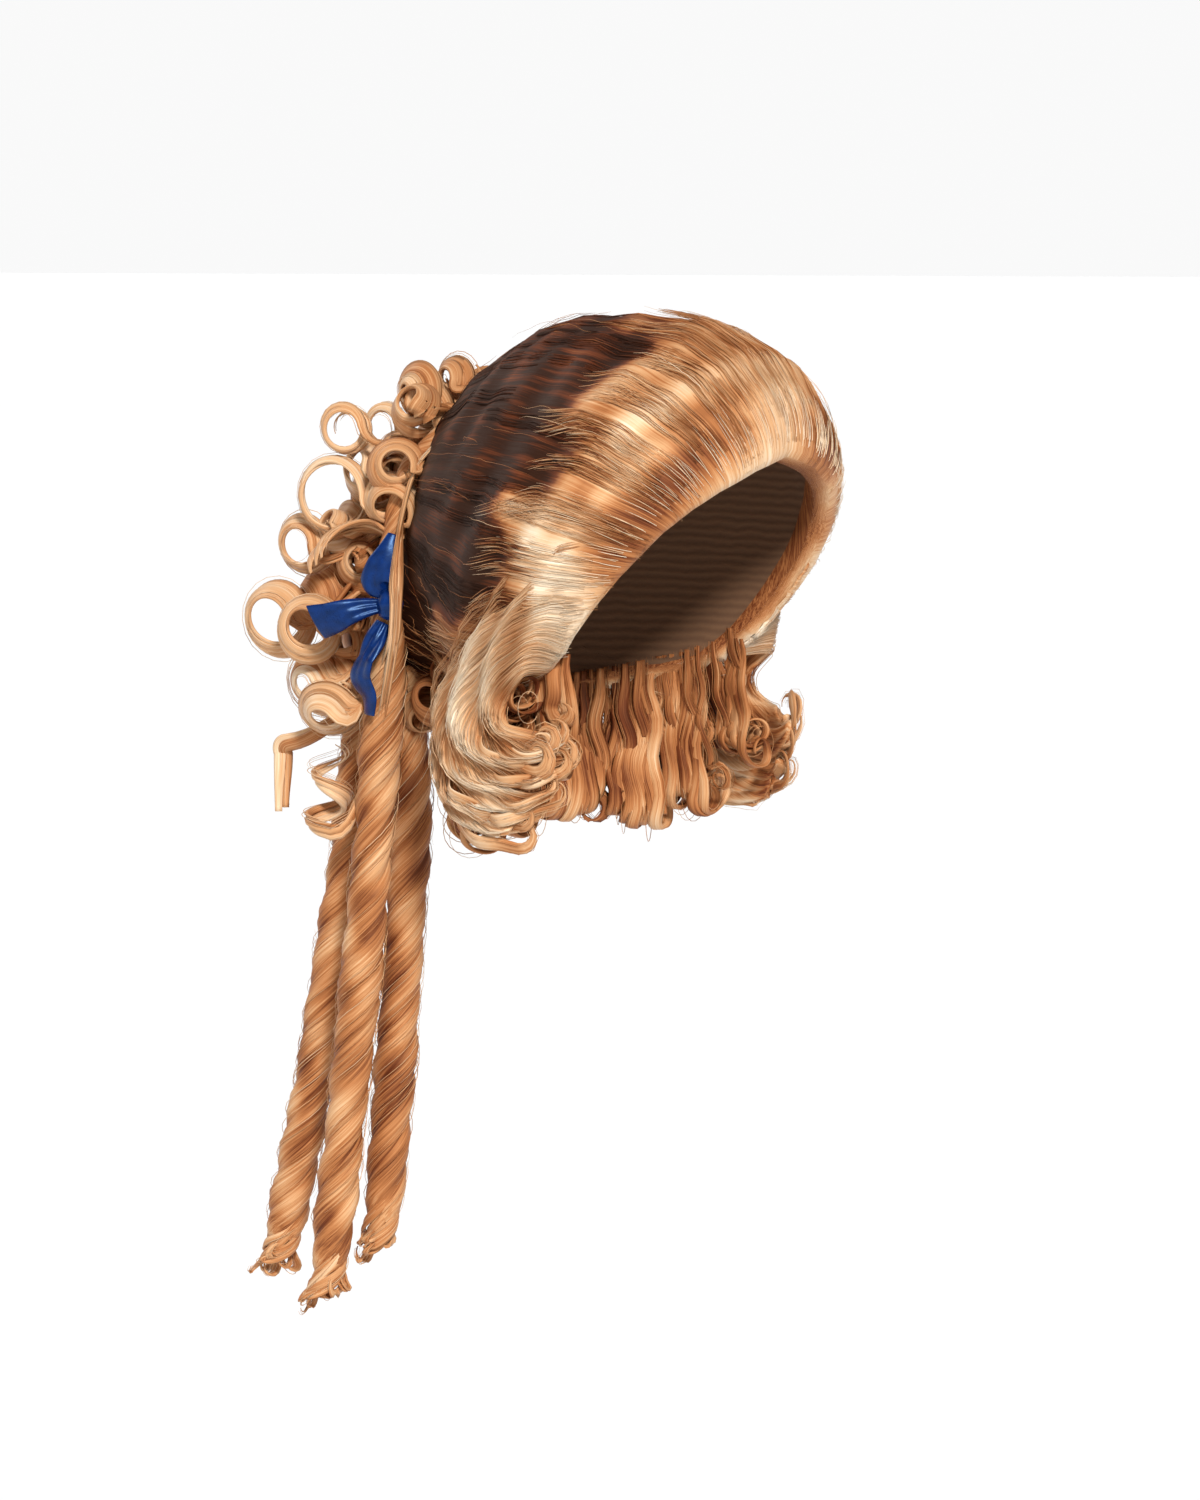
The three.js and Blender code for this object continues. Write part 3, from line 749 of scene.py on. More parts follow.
# %% Stray fibres
STRAYS, STRAY_POINTS = 340, 13
strays = Tress()
for _ in range(STRAYS):
    from_face = rng.uniform(0, 360)
    first = rng.uniform(0, 0.7)
    last = min(0.98, first + rng.uniform(0.08, 0.3))
    sway = rng.normal(0, 0.07) + 0.1 * rng.normal() * (first > 0.3)
    ways = comb_line(from_face, np.linspace(first, last, STRAY_POINTS), sway)
    depth = valley(ways, from_face)
    lift = rng.exponential(0.8) * np.linspace(0.3, 1, STRAY_POINTS) + 1.0
    lift = lift + depth * rng.uniform(0, 2.5) * np.sin(np.linspace(0, rng.uniform(2, 7), STRAY_POINTS))
    line = on_hair(ways, lift - 1.4 * depth) + rng.normal(0, 0.2, (STRAY_POINTS, 3))
    # Strays over the valley are darker, as the valley is: partly darker hair, partly painted shade.
    add_strands(strays, rng, line[None], rng.uniform(0.06, 0.12), 0.74 - 0.4 * depth.mean())
hang(strays.make("stray_fibres", curl_finish), "hair_light")

# %% [markdown]
# ## Loose curls at the back
#
# Each curl comes out of the hair at its root and turns once or so round a finger's width. Three thin
# bundles side by side make one curl, because a curl of real hair splits a little as it is pinned.

# %% The curls' table
CURL_REACH, CURL_RADIUS, CURL_WIDTH, CURL_THICKNESS, GAP, ROOT_DEPTH = 40, 12, 10, 3, 0.3, 4
CURL_COLUMNS = "from_face elevation reach radius width turns begin lean tilt rise round tail pitch".split()
CURLS = {
    "top_curl_1": [165, 32, 0.42, 0.75, 1.6, 1.15, -110, 8, 0, 4, -3, 0, 0],
    "top_curl_2": [176, 37, 0.3, 0.65, 1.3, 1.1, -100, -4, 0, 6, -2, 0, 0],
    "back_curl_01": [162, 19, 0.95, 0.85, 0.6, 1.4, -80, 0, 0, 4, 6, 0, 0.2],
    "back_curl_02": [173, 20, 0.72, 0.8, 0.7, 1.15, -90, 0, 0, 1, 0, 0, 0.2],
    "back_curl_03": [163, 6, 0.85, 1.45, 0.8, 1.05, -90, 0, 0, 5, 5, 0, 0.2],
    "back_curl_04": [176, 5, 0.6, 1.1, 2, 0.75, -80, 0, 0, 6, 0, 0, 0],
    "back_curl_05": [168, -3, 1.03, 0.95, 1, 1.1, -90, 0, 0, 3, 6, 0, 0],
    "back_curl_06": [157, -5, 0.5, 1.6, 2.2, 0.45, -70, -15, 50, 4, 3, 0, 0],
    "back_curl_07": [167, -14, 1.2, 1.25, 1.4, 1.15, -70, 0, 0, 4, 7, 0, 0],
    "back_curl_08": [159, -17, 0.9, 1.05, 1.3, 1.1, -80, -5, 10, 3, 8, 0, 0],
    "back_curl_09": [168, -25, 1, 0.9, 1.6, 1.15, -60, 0, 0, 4, 6, 0, 0],
    "back_curl_10": [157, -31, 1.15, 0.85, 1.7, 1.1, -50, 0, -15, 6, 9, 0, 0],
    "back_curl_11": [166, -32, 1.75, 0.4, 0.75, 0.28, 0, 0, 0, 3, 4, 0.6, 0],
    "back_curl_12": [162, -40, 1.76, 0.72, 0.7, 1.75, 0, 0, -80, 10, 6, 0, 1.2],
    "back_curl_13": [167, -35, 0.5, 0.6, 1.3, 0.28, -10, 0, 0, 3, -2, 0.6, 0],
}
CURLS = {name: dict(zip(CURL_COLUMNS, row)) for name, row in CURLS.items()}
for number in (1, 3, 5, 7, 8, 9, 10):
    row = CURLS[f"back_curl_{number:02}"]
    CURLS[f"left_curl_{number:02}"] = {
        **row, "from_face": 360 - row["from_face"], "lean": -row["lean"], "round": -row["round"],
    }
print(len(CURLS), "curls")


# %% A curl's line
STEM_POINTS, TURN_POINTS = 14, 34


def curl_line(row, spread=0.0, swell=0.0):
    """The line of one bundle of a curl, and the way that its width runs."""
    hand = -1 if row["from_face"] > 180 else 1
    out = direction(row["from_face"] + row["lean"], 0.0)
    axis = turned(np.cross(out, UP) * hand, out, row["tilt"] * hand)
    top = turned(UP, out, row["tilt"] * hand)
    centre = on_hair(direction(row["from_face"], row["elevation"]), row["reach"] * CURL_REACH)
    root_way = direction(row["from_face"] + row["round"], row["elevation"] + row["rise"])
    root = on_hair(root_way, -ROOT_DEPTH)
    drift = (row["width"] + row["pitch"]) * CURL_WIDTH + 3 * GAP

    def loop(share):
        angle = np.radians(row["begin"] + 360 * row["turns"] * share)[:, None]
        r = (row["radius"] * CURL_RADIUS + swell) * (1 - share[:, None] / 4)
        turn = top * r * np.cos(angle) + out * r * np.sin(angle)
        return centre + turn + axis * (drift * row["turns"] * (share[:, None] - 0.5) + spread)

    start = loop(np.array([0.0, 0.02]))
    away = unit(start[0] - start[1])
    stride = np.linalg.norm(start[0] - root) * 0.4
    t = np.linspace(0, 1, STEM_POINTS)[:-1, None]
    a, b, c, d = root, root + root_way * stride, start[0] + away * stride, start[0]
    stem = a * (1 - t) ** 3 + 3 * b * t * (1 - t) ** 2 + 3 * c * t * t * (1 - t) + d * t**3
    turns = loop(np.linspace(0, 1, int(TURN_POINTS * row["turns"]) + 6))
    parts = [stem, turns]
    if row["tail"]:
        drop = np.linspace(0.1, 1, 12)[:, None]
        parts.append(turns[-1] - UP * drop * row["tail"] * CURL_REACH)
    return np.vstack(parts), axis


# How far a curl's bundles open like a cone, in degrees; a hanging tail turns its flat side out.
FILL_FLARE, CURL_FLARE, TAIL_FLARE = 28, 38, -66
BUNDLE_OVERLAP = 1.45


def add_curl(tress, rng, row, tone, bundles=3, fibres=9, flare=CURL_FLARE, sides=8):
    """A curl of a few bundles, each a little off the others, with some fibres that stray from it."""
    whole = row["width"] * CURL_WIDTH
    lean = math.radians(flare)
    hand = -1 if row["from_face"] < 180 else 1
    for i in range(bundles):
        place = ((i + 0.5) / bundles - 0.5) * whole * 0.72
        loose = {
            **row, "turns": row["turns"] * rng.uniform(0.92, 1.1), "lean": row["lean"] + rng.normal(0, 3),
        }
        line, axis = curl_line(loose, place * math.cos(lean), place * math.sin(lean) + rng.normal(0, 0.5))
        share = np.linspace(0, 1, len(line))[:, None]
        slow = 0.5 * np.sin(5 * share + rng.uniform(0, 6))
        quick = 0.9 * share * np.sin(9 * share + rng.uniform(0, 6))
        line = line + axis * (slow + quick) + UP * 0.6 * np.sin(7 * share + rng.uniform(0, 6))
        # Each bundle is darker at its root, a painted shade, and lighter towards its end, a painted light.
        light = tone + rng.normal(0, 0.04) + 0.12 * share[:, 0] - 0.1 * (1 - ease(share[:, 0], 0, 0.3))
        thickness = CURL_THICKNESS * rng.uniform(0.55, 0.8)
        add_lock(tress, rng, line, axis, whole / bundles * BUNDLE_OVERLAP, thickness, light, sides=sides,
                 ridge=0.16, tip=0.6 if row["tail"] else 0.15, flare=hand * flare)
    for _ in range(fibres):
        place = rng.uniform(-0.6, 0.6) * whole
        line, axis = curl_line(row, place * math.cos(lean), place * math.sin(lean) + rng.normal(0.7, 0.8))
        shift = np.linspace(0, 1, len(line))[:, None] ** 2 * rng.normal(0, 1.6, 3)
        add_strands(tress, rng, (line + shift)[None, 4::2], rng.uniform(0.1, 0.2), tone + 0.14)


print("curl helpers ready")

# %% Pinned curls
# Curls that reach far out catch more light than those close to the head.
FAR_REACH, FAR_TONE, NEAR_TONE, TAIL_TONE = 0.7, 0.56, 0.47, 0.55
rng = np.random.default_rng(23)
for name, row in CURLS.items():
    tress = Tress()
    if row["tail"]:
        add_curl(tress, rng, row, TAIL_TONE, bundles=2, flare=TAIL_FLARE)
    else:
        add_curl(tress, rng, row, FAR_TONE if row["reach"] > FAR_REACH else NEAR_TONE)
    hang(tress.make(name + "_hair", curl_finish), "hair_light", name)

# %% [markdown]
# ## The mass of curls on the mound
#
# Between the pinned curls the back of the wig is full of smaller ones that lie close to the mound.
# They are made with the same function, from rows that step evenly round the mound with a little
# seeded chance.

# %% Curls that fill the mound
# Each row is an elevation, a number of curls, half the turn that they cover, and how far out they reach.
FILL_ROWS = [
    (30, 5, 30, 0.26), (19, 7, 30, 0.26), (7, 7, 30, 0.26), (-6, 7, 30, 0.26),
    (-18, 7, 30, 0.26), (-30, 6, 30, 0.26), (-40, 5, 30, 0.26),
    (12, 3, 16, 0.6), (0, 3, 14, 0.65), (-12, 3, 14, 0.7), (-24, 3, 16, 0.65),
]
# Near the bow's elevation, a curl nearer to the face than this turn is shifted back, to clear the bow.
BOW_ELEVATION, BOW_BAND, BOW_CLEAR, BOW_SHIFT = -18, 15, 166, 16
rng = np.random.default_rng(31)
filling = Tress()
for elevation, number, half_turn, reach in FILL_ROWS:
    for i in range(number):
        across = (i + 0.5) / number * 2 - 1
        from_face = 180 + across * half_turn + rng.normal(0, 1.5)
        if abs(elevation - BOW_ELEVATION) < BOW_BAND and from_face < BOW_CLEAR:
            from_face += BOW_SHIFT
        row = dict(zip(CURL_COLUMNS, [
            from_face, elevation + rng.normal(0, 2), reach + rng.uniform(-0.14, 0.14), rng.uniform(0.6, 0.95),
            rng.uniform(0.9, 1.6), rng.uniform(1.0, 1.5), rng.uniform(-120, -60), rng.normal(0, 14),
            rng.normal(0, 25), rng.uniform(2, 8), rng.normal(0, 4), 0, 0,
        ]))
        add_curl(filling, rng, row, rng.uniform(0.36, 0.58), bundles=2, fibres=1, flare=FILL_FLARE, sides=6)
hang(filling.make("mound_curls", curl_finish), "hair_light")

# %% [markdown]
# ## Rolled curls along the nape
#
# The lower hair drops from the rim and rolls outwards into broad curls. Each is seven bundles wide, and
# the outer bundles roll at slightly different heights, so that the ends look brushed out.

# %% Nape curls
NAPE_RADIUS, NAPE_WIDTH, NAPE_THICKNESS, NAPE_DROP, RIM_THICKNESS = 10, 22, 4, 52, 6
WAVE_STEP, NAPE_BUNDLES, NAPE_FIBRES = 27, 7, 10
NAPE_COLUMNS = "from_face drop reach radius width turns".split()
NAPE_CURLS = [
    [78, 0.74, 0.3, 0.9, 1, 1.05],
    [99, 1, 0.4, 1, 1.1, 1.1],
    [121, 1.05, 0.4, 1.05, 1.15, 1.1],
    [149, 0.9, 0.4, 1, 1.25, 1.05],
    [92, 0.18, 1.6, 0.9, 1, 1.1],
    [112, 0.38, 1.7, 1.05, 1.15, 1.1],
]


def nape_line(row, spread, lower, swell):
    """The line of one bundle of a nape curl, and the way that its width runs."""
    out = direction(row["from_face"], 0.0)
    axis = np.cross(out, UP)
    rim = rim_direction(row["from_face"])
    seat = HEAD + rim * (head_radius(rim) + RIM_THICKNESS / 2)
    stand = out * row["reach"] * NAPE_THICKNESS
    root = seat + UP * ROOT_DEPTH
    hang = seat + stand - UP * (row["drop"] * NAPE_DROP + lower)
    radius = row["radius"] * NAPE_RADIUS + swell
    centre = hang + out * radius
    share = np.linspace(0, 1, 40)[1:, None]
    angle = np.radians(360 * row["turns"] * share)
    r = radius * (1 - share / 2)
    fall = smooth_line([root, seat + stand - UP * ROOT_DEPTH, hang], 12)
    line = np.vstack([fall, centre - out * r * np.cos(angle) - UP * r * np.sin(angle)])
    run = lengths_along(line) / lengths_along(line)[-1]
    return line + axis * (spread * mix(0.8, 1.15, run))[:, None], axis


rng = np.random.default_rng(41)
for i, values in enumerate(NAPE_CURLS):
    for side in ("right", "left"):
        row = dict(zip(NAPE_COLUMNS, values))
        if side == "left":
            row["from_face"] = 360 - row["from_face"]
        tress = Tress()
        whole = row["width"] * NAPE_WIDTH
        pitch, phase = rng.uniform(0.8, 1.5) * WAVE_STEP, rng.uniform(0, 6.28)
        for k in range(NAPE_BUNDLES):
            spread = ((k + 0.5) / NAPE_BUNDLES - 0.5) * whole * 0.88
            line, axis = nape_line(row, spread, rng.normal(0, 3.0), rng.normal(-0.5, 1.2))
            run = lengths_along(line)[:, None]
            swell = np.sin(run * 2 * np.pi / pitch + phase + rng.normal(0, 0.5)) * ease(run, 4, 20)
            sway = np.sin(run * 2 * np.pi / pitch + phase + rng.normal(1.6, 0.5))
            line = line + axis * 1.5 * sway + np.cross(UP, axis) * 0.8 * swell
            # Each bundle is lighter where its wave swells out, a painted highlight, and darker near the rim,
            # a painted shade.
            tone = rng.uniform(0.36, 0.5) + 0.1 * swell - 0.12 * (1 - ease(run, 0, 22))
            thickness = NAPE_THICKNESS * rng.uniform(0.3, 0.6)
            add_lock(tress, rng, line, axis, whole / NAPE_BUNDLES * 1.7, thickness, tone, sides=6, ridge=0.1)
        for _ in range(NAPE_FIBRES):
            spread, lower = rng.uniform(-0.55, 0.55) * whole, rng.normal(0, 3)
            line, axis = nape_line(row, spread, lower, rng.normal(0.5, 1.2))
            add_strands(tress, rng, line[None, 2::2], rng.uniform(0.12, 0.2), rng.uniform(0.45, 0.65))
        node = f"nape_curl_{side}_{i + 1}"
        hang(tress.make(node + "_hair", curl_finish), "hair_deep", node)

# %% [markdown]
# ## Waves behind the nape curls
#
# Seen from the face, the inside of the nape shows too. Narrow waved locks hang from the rim all round
# the back, each with its own wave and a loose curl at its end, so that no bare edge shows between the
# rolled curls.

# %% Waves along the nape
def curl_up(line, radius, turns, drift):
    """Adds a tightening loop to the end of a line, in the plane of the hair's surface."""
    along = unit(line[-1] - line[-3])
    outward = unit((line[-1] - HEAD) * np.array([1, 1, 0]))
    aside = np.cross(outward, along)
    share = np.linspace(0, 1, int(14 * turns) + 3)[1:, None]
    angle = 2 * np.pi * turns * share
    swing = (along * np.sin(angle) - aside * np.cos(angle)) * radius_left(radius, share)
    return np.vstack([line, line[-1] + aside * radius + swing + outward * drift * share])


def radius_left(radius, share):
    """A loop's radius, which halves from its start to its end."""
    return radius * (1 - 0.5 * share)


# The waves' low tone is a painted shade, for where they hang behind the nape curls.
NAPE_WAVES, WAVE_FIBRES, WAVES_FROM, WAVE_TONE = 72, 9, 76, 0.33
rng = np.random.default_rng(43)
nape_waves = Tress()
for i in range(NAPE_WAVES):
    from_face = mix(WAVES_FROM, 360 - WAVES_FROM, (i + 0.5) / NAPE_WAVES) + rng.normal(0, 1)
    rim = rim_direction(from_face)
    out = direction(from_face, 0.0)
    axis = np.cross(out, UP)
    root = HEAD + rim * (head_radius(rim) + 2) + UP * 6
    past_ears = min(from_face, 360 - from_face) - WAVES_FROM
    length = rng.uniform(34, 58) - 12 * np.exp(-((past_ears / 10) ** 2))
    drop = np.linspace(0, length, 22)[:, None]
    angle = drop * 2 * np.pi / rng.uniform(26, 42) + rng.uniform(0, 6.28)
    grow = ease(drop, 2, 30)
    stand = out * (rng.uniform(-3.5, 4) + 6 * ease(drop, 0, length))
    line = root - UP * drop + stand + (out * 1.4 * np.sin(angle) + axis * 2.4 * np.cos(angle)) * grow
    radius = rng.uniform(5.5, 8.5) * rng.choice([-1, 1])
    line = curl_up(line, radius, rng.uniform(0.6, 1.25), rng.uniform(1, 5))
    # Lighter where the wave bulges out, a painted highlight, and a little lighter in the end curls.
    light = np.sin(angle[:, 0]) * grow[:, 0]
    light = np.concatenate([light, np.full(len(line) - len(light), 0.8)])
    tone = WAVE_TONE + 0.09 * light + rng.normal(0, 0.04)
    width, thickness = rng.uniform(3.5, 7), rng.uniform(1, 1.7)
    add_lock(nape_waves, rng, line, axis, width, thickness, tone, sides=6, ridge=0.1, tip=0.12)
    aside = rng.uniform(-4, 4, (WAVE_FIBRES, 1, 1))
    fibres = line + axis * aside + out * rng.uniform(-1.2, 1.4, (WAVE_FIBRES, 1, 1))
    add_strands(nape_waves, rng, fibres[:, ::2], rng.uniform(0.1, 0.19, WAVE_FIBRES), tone[::2] + 0.06)
hang(nape_waves.make("nape_waves", curl_finish), "hair_deep")

# %% [markdown]
# ## Locks that fall over the ears
#
# From the temples the hair is brushed back over the ears, falls behind them in waves, swings forwards
# over the neck and turns up in curls. The outermost and the innermost of these locks are given as
# tables, and every lock lies somewhere between the two, with a wave that all of them share, because
# a wig's waves are set in one go. Turns are angles from the face, heights are millimetres from the
# middle of the head, and out is how far a lock lies above the hair.

# %% Where the side locks fall
FALL_START = (52, 80)
OUTER_FALL = np.array([
    [70, -12, -0.5], [88, -28, 0.5], [101, -48, 2.5], [112, -68, 7],
    [119, -92, 8], [110, -114, 9], [88, -126, 9], [68, -117, 7],
])
INNER_FALL = np.array([
    [80, -54, 0], [83, -58, 1], [85, -63, 2], [85, -69, 4],
    [82, -74, 5], [76, -77, 5], [69, -76, 5], [62, -71, 4],
])
HANG_FROM, DRAW_IN, FALL_STEP, FALL_POINTS = -20, 0.12, 31, 64


def around_head(turn, up, out):
    """A point on the side hair: on the combed hair above, and hanging from its widest part below."""
    way = direction(turn, 0 * turn)
    level = np.maximum(up, HANG_FROM)
    across = np.sqrt(1 - (level / HEAD_HALF[2]) ** 2) * head_radius(way)
    points = on_hair(unit(way * across[..., None] + UP * level[..., None]), out)
    reach = np.linalg.norm((points - HEAD)[..., :2], axis=-1) - DRAW_IN * np.maximum(0, HANG_FROM - up)
    return HEAD + way * reach[..., None] + UP * up[..., None]


def away_from_head(line):
    """The way out of the hair at each point of a line, and the way across the line."""
    outward = unit((line - HEAD) * np.array([1, 1, 0.3]))
    return outward, np.cross(unit(np.gradient(line, axis=0)), outward)


def fall_line(place):
    """One line of the side hair from the hairline to its end, with how high on a wave each point lies."""
    turn, up, out = mix(OUTER_FALL, INNER_FALL, place).T
    rim = rim_direction(mix(*FALL_START, place))
    line = smooth_line(np.vstack([on_hair(rim, 0.3), around_head(turn, up, out)]), FALL_POINTS)
    angle = lengths_along(line) * 2 * np.pi / FALL_STEP - 2.2 * place
    fade = ease(lengths_along(line), 10, 45)
    outward, across = away_from_head(line)
    wave = outward * 1.7 * np.sin(angle)[:, None] + across * 1.2 * np.cos(angle)[:, None]
    return line + wave * fade[:, None], np.sin(angle) * fade


print("longest side lock", round(float(lengths_along(fall_line(0.0)[0])[-1])), "mm")

# %% Broad locks of the side hair
FALL_ACROSS, LOCK_DOME, LOCK_BACK, FALL_FIBRES = 24, 2.0, 1.2, 42
BROAD_COLUMNS = "low high layer last tone grooves".split()
BROAD_LOCKS = [
    [0.00, 0.55, 0.0, 0.92, 0.52, 7],
    [0.45, 1.00, 0.4, 0.98, 0.56, 6],
    [0.04, 0.33, 1.8, 0.88, 0.60, 4],
    [0.28, 0.56, 2.4, 0.96, 0.63, 4],
    [0.50, 0.76, 2.0, 0.90, 0.62, 4],
    [0.72, 0.97, 1.6, 0.94, 0.58, 4],
]


def add_broad_lock(tress, rng, row, mirror):
    """A wide domed lock between two places of the tables, with grooves along it and fibres on it."""
    u = np.linspace(0, 1, FALL_ACROSS)
    lines, crests = zip(*[fall_line(place) for place in mix(row["low"], row["high"], u)])
    rows = int(FALL_POINTS * row["last"])
    front, crest = np.stack(lines, axis=1)[:rows], np.stack(crests, axis=1)[:rows]
    step = np.linspace(0, 1, rows)[:, None]
    middle = front[:, FALL_ACROSS // 2:FALL_ACROSS // 2 + 1]
    draw = (0.75 if row["layer"] > 1 else 0.6) * ease(step, 0.7, 1.03)
    front = mix(front, middle, draw[..., None])
    outward = unit((front - HEAD) * np.array([1, 1, 0.3]))
    dome = np.sqrt(1 - (2 * u - 1) ** 2 * 0.98)[None, :]
    across = np.pi * row["grooves"] * u + 0.8 * np.sin(7 * step + row["low"] * 20) + row["layer"]
    groove = np.abs(np.sin(across)) ** 0.6
    rise = mix(0.25, 1, ease(step, 0, 0.3))
    lift = (LOCK_DOME + 0.5 * groove) * dome * rise + row["layer"] * ease(step, 0.05, 0.4)
    back = front - outward * LOCK_BACK * dome[..., None]
    front = front + outward * lift[..., None]
    rings = np.concatenate([front, back[:, ::-1]], axis=1) * mirror
    span = np.linalg.norm(front[:, -1] - front[:, 0], axis=1)[:, None]
    run = lengths_along(front[:, FALL_ACROSS // 2])[:, None]
    grain = np.stack([span * (u - 0.5), lift, run + 0 * u], axis=-1) + rng.uniform(-400, 400, 3)
    # Lighter on the wave's crests and on the ridges, darker in the grooves: painted highlight and painted
    # shade; the patches are the hair's own.
    tone = row["tone"] + 0.15 * crest + 0.16 * patchy(front, 24) + 0.1 * (groove - 0.7)
    tone = tone + 0.1 * (1 - ease(step, 0.1, 0.5))
    way = unit(front - HEAD)
    on_crown = crown_tone(way, np.degrees(np.arctan2(-way[..., 0], -way[..., 1])))
    tone = mix(on_crown, tone, ease(step, 0.02, 0.35))
    grain = np.concatenate([grain, grain[:, ::-1]], axis=1)
    tones = np.concatenate([tone, tone[:, ::-1]], axis=1)
    turn = 1 if mirror[0] > 0 else -1
    tress.add_rings(rings[:, ::turn], grain[:, ::turn], tones[:, ::turn])
    pick = rng.integers(0, FALL_ACROSS, FALL_FIBRES)
    wander = rng.normal(0, 0.7, (FALL_FIBRES, 1, 3)) * np.sin(np.linspace(0, 3, rows))[None, :, None]
    fibres = (front + outward * 0.3)[:, pick].transpose(1, 0, 2) + wander
    fibres = fibres + outward[:, pick].transpose(1, 0, 2) * rng.uniform(0, 0.7, (FALL_FIBRES, 1, 1))
    radii = rng.uniform(0.1, 0.19, FALL_FIBRES)
    add_strands(tress, rng, fibres[:, ::2] * mirror, radii, tone[::2, pick].T + 0.06)


print("broad lock helper ready")

# %% [markdown]
# ## Loose locks and fibres of the side hair
#
# Broad locks alone would read as ribbons. So narrow locks lie loosely on them and curl up at their
# ends, and single fibres lie along the front edge, where the hair thins out against the face.

# %% Side hair of both sides
LOOSE_LOCKS, LOOSE_TONE, LOCK_FIBRES, EDGE_FIBRES = 12, 0.56, 6, 60
# Multiples of the golden ratio spread the loose locks evenly, whatever their number.
GOLDEN = 0.618034
rng = np.random.default_rng(47)
for side in ("right", "left"):
    mirror = np.array([1 if side == "right" else -1, 1, 1])
    tress = Tress()
    for values in BROAD_LOCKS:
        add_broad_lock(tress, rng, dict(zip(BROAD_COLUMNS, values)), mirror)
    for i in range(LOOSE_LOCKS):
        line, crest = fall_line(mix(0.14, 1, (i * GOLDEN) % 1))
        first, last = rng.integers(16, 34), rng.integers(54, 64)
        line = line[first:last]
        outward, across = away_from_head(line)
        step = np.linspace(0, 1, len(line))[:, None]
        line = line + outward * (2 + rng.uniform(0.5, 2.5) * step) + across * rng.normal(0, 2) * step
        whole = curl_up(line, rng.uniform(5, 9), rng.uniform(0.3, 0.8), rng.uniform(0, 3))
        outward, across = away_from_head(whole)
        # Lighter on the crests of the shared wave, a painted highlight.
        light = LOOSE_TONE + 0.13 * np.concatenate([crest[first:last], np.zeros(len(whole) - len(line))])
        width, thickness = rng.uniform(4, 7), rng.uniform(1, 1.5)
        add_lock(tress, rng, whole * mirror, across * mirror, width, thickness, light, root=0.1, tip=0.1)
        aside = across * rng.uniform(-3, 3, (LOCK_FIBRES, 1, 1))
        lines = whole + aside + outward * rng.uniform(0.2, 1, (LOCK_FIBRES, 1, 1))
        radii = rng.uniform(0.1, 0.18, LOCK_FIBRES)
        add_strands(tress, rng, lines[:, ::2] * mirror, radii, light[::2] + 0.06)
    for _ in range(EDGE_FIBRES):
        line, crest = fall_line(rng.uniform(-0.3, 0.16))
        last = rng.integers(22, 44)
        outward, across = away_from_head(line)
        step = np.linspace(0, 1, FALL_POINTS)[:, None]
        line = line + outward * (rng.uniform(0.2, 0.8) + 0.8 * step) + across * rng.normal(0, 2) * step
        # Lighter on the crests of the shared wave, a painted highlight.
        tone = rng.uniform(0.34, 0.62) + 0.1 * crest
        add_strands(tress, rng, (line * mirror)[None, :last:2], rng.uniform(0.07, 0.13), tone[:last:2])
    hang(tress.make(f"{side}_falling_locks", curl_finish), "hair_deep")

# %% [markdown]
# ## The long ringlets
#
# A ringlet is a flat lock wound round a rod and slipped off, so it shows three turns lying against
# each other like a rope, with the fibres running along the turns. The section has three lobes with
# finer ridges on them, and turns as it goes down.

# %% The ringlets' lines
RINGLET_RADIUS, RINGLET_LOBE, RINGLET_PITCH = 8.8, 1.6, 62
RINGLET_LENGTH, RINGLET_SPACING, RINGLET_POINTS = 336, 20, 220
RINGLET_COLUMNS = "from_face start side behind lean top length phase".split()
RINGLETS = {
    "ringlet_1": [157, 16, -2.05, 1.02, 0.44, 0.15, 1, 0],
    "ringlet_2": [172, -36, -0.95, 1.08, 0.24, -0.6, 0.76, 40],
    "ringlet_3": [172, -24, -0.95, 1.42, 0.56, -0.8, 0.75, 80],
}


def ringlet_line(row):
    """The middle line of a ringlet, from its root in the mound to its tip."""
    x = row["side"] * RINGLET_SPACING
    behind = row["behind"] * HEAD_HALF[1]
    top = HEAD[2] + row["top"] * HEAD_HALF[2]
    lean, length = row["lean"] * HEAD_HALF[1], row["length"] * RINGLET_LENGTH
    falls = [
        np.array([x, behind + lean * share**1.4, top - length * share])
        for share in (0.08, 0.25, 0.5, 0.75, 1)
    ]
    root = on_hair(direction(row["from_face"], row["start"] + 12), -ROOT_DEPTH)
    leave = on_hair(direction(row["from_face"], row["start"]), RINGLET_RADIUS / 3)
    return smooth_line([root, leave, *falls], RINGLET_POINTS)


for name, values in RINGLETS.items():
    run = lengths_along(ringlet_line(dict(zip(RINGLET_COLUMNS, values))))
    print(name, "line", round(float(run[-1])), "mm")

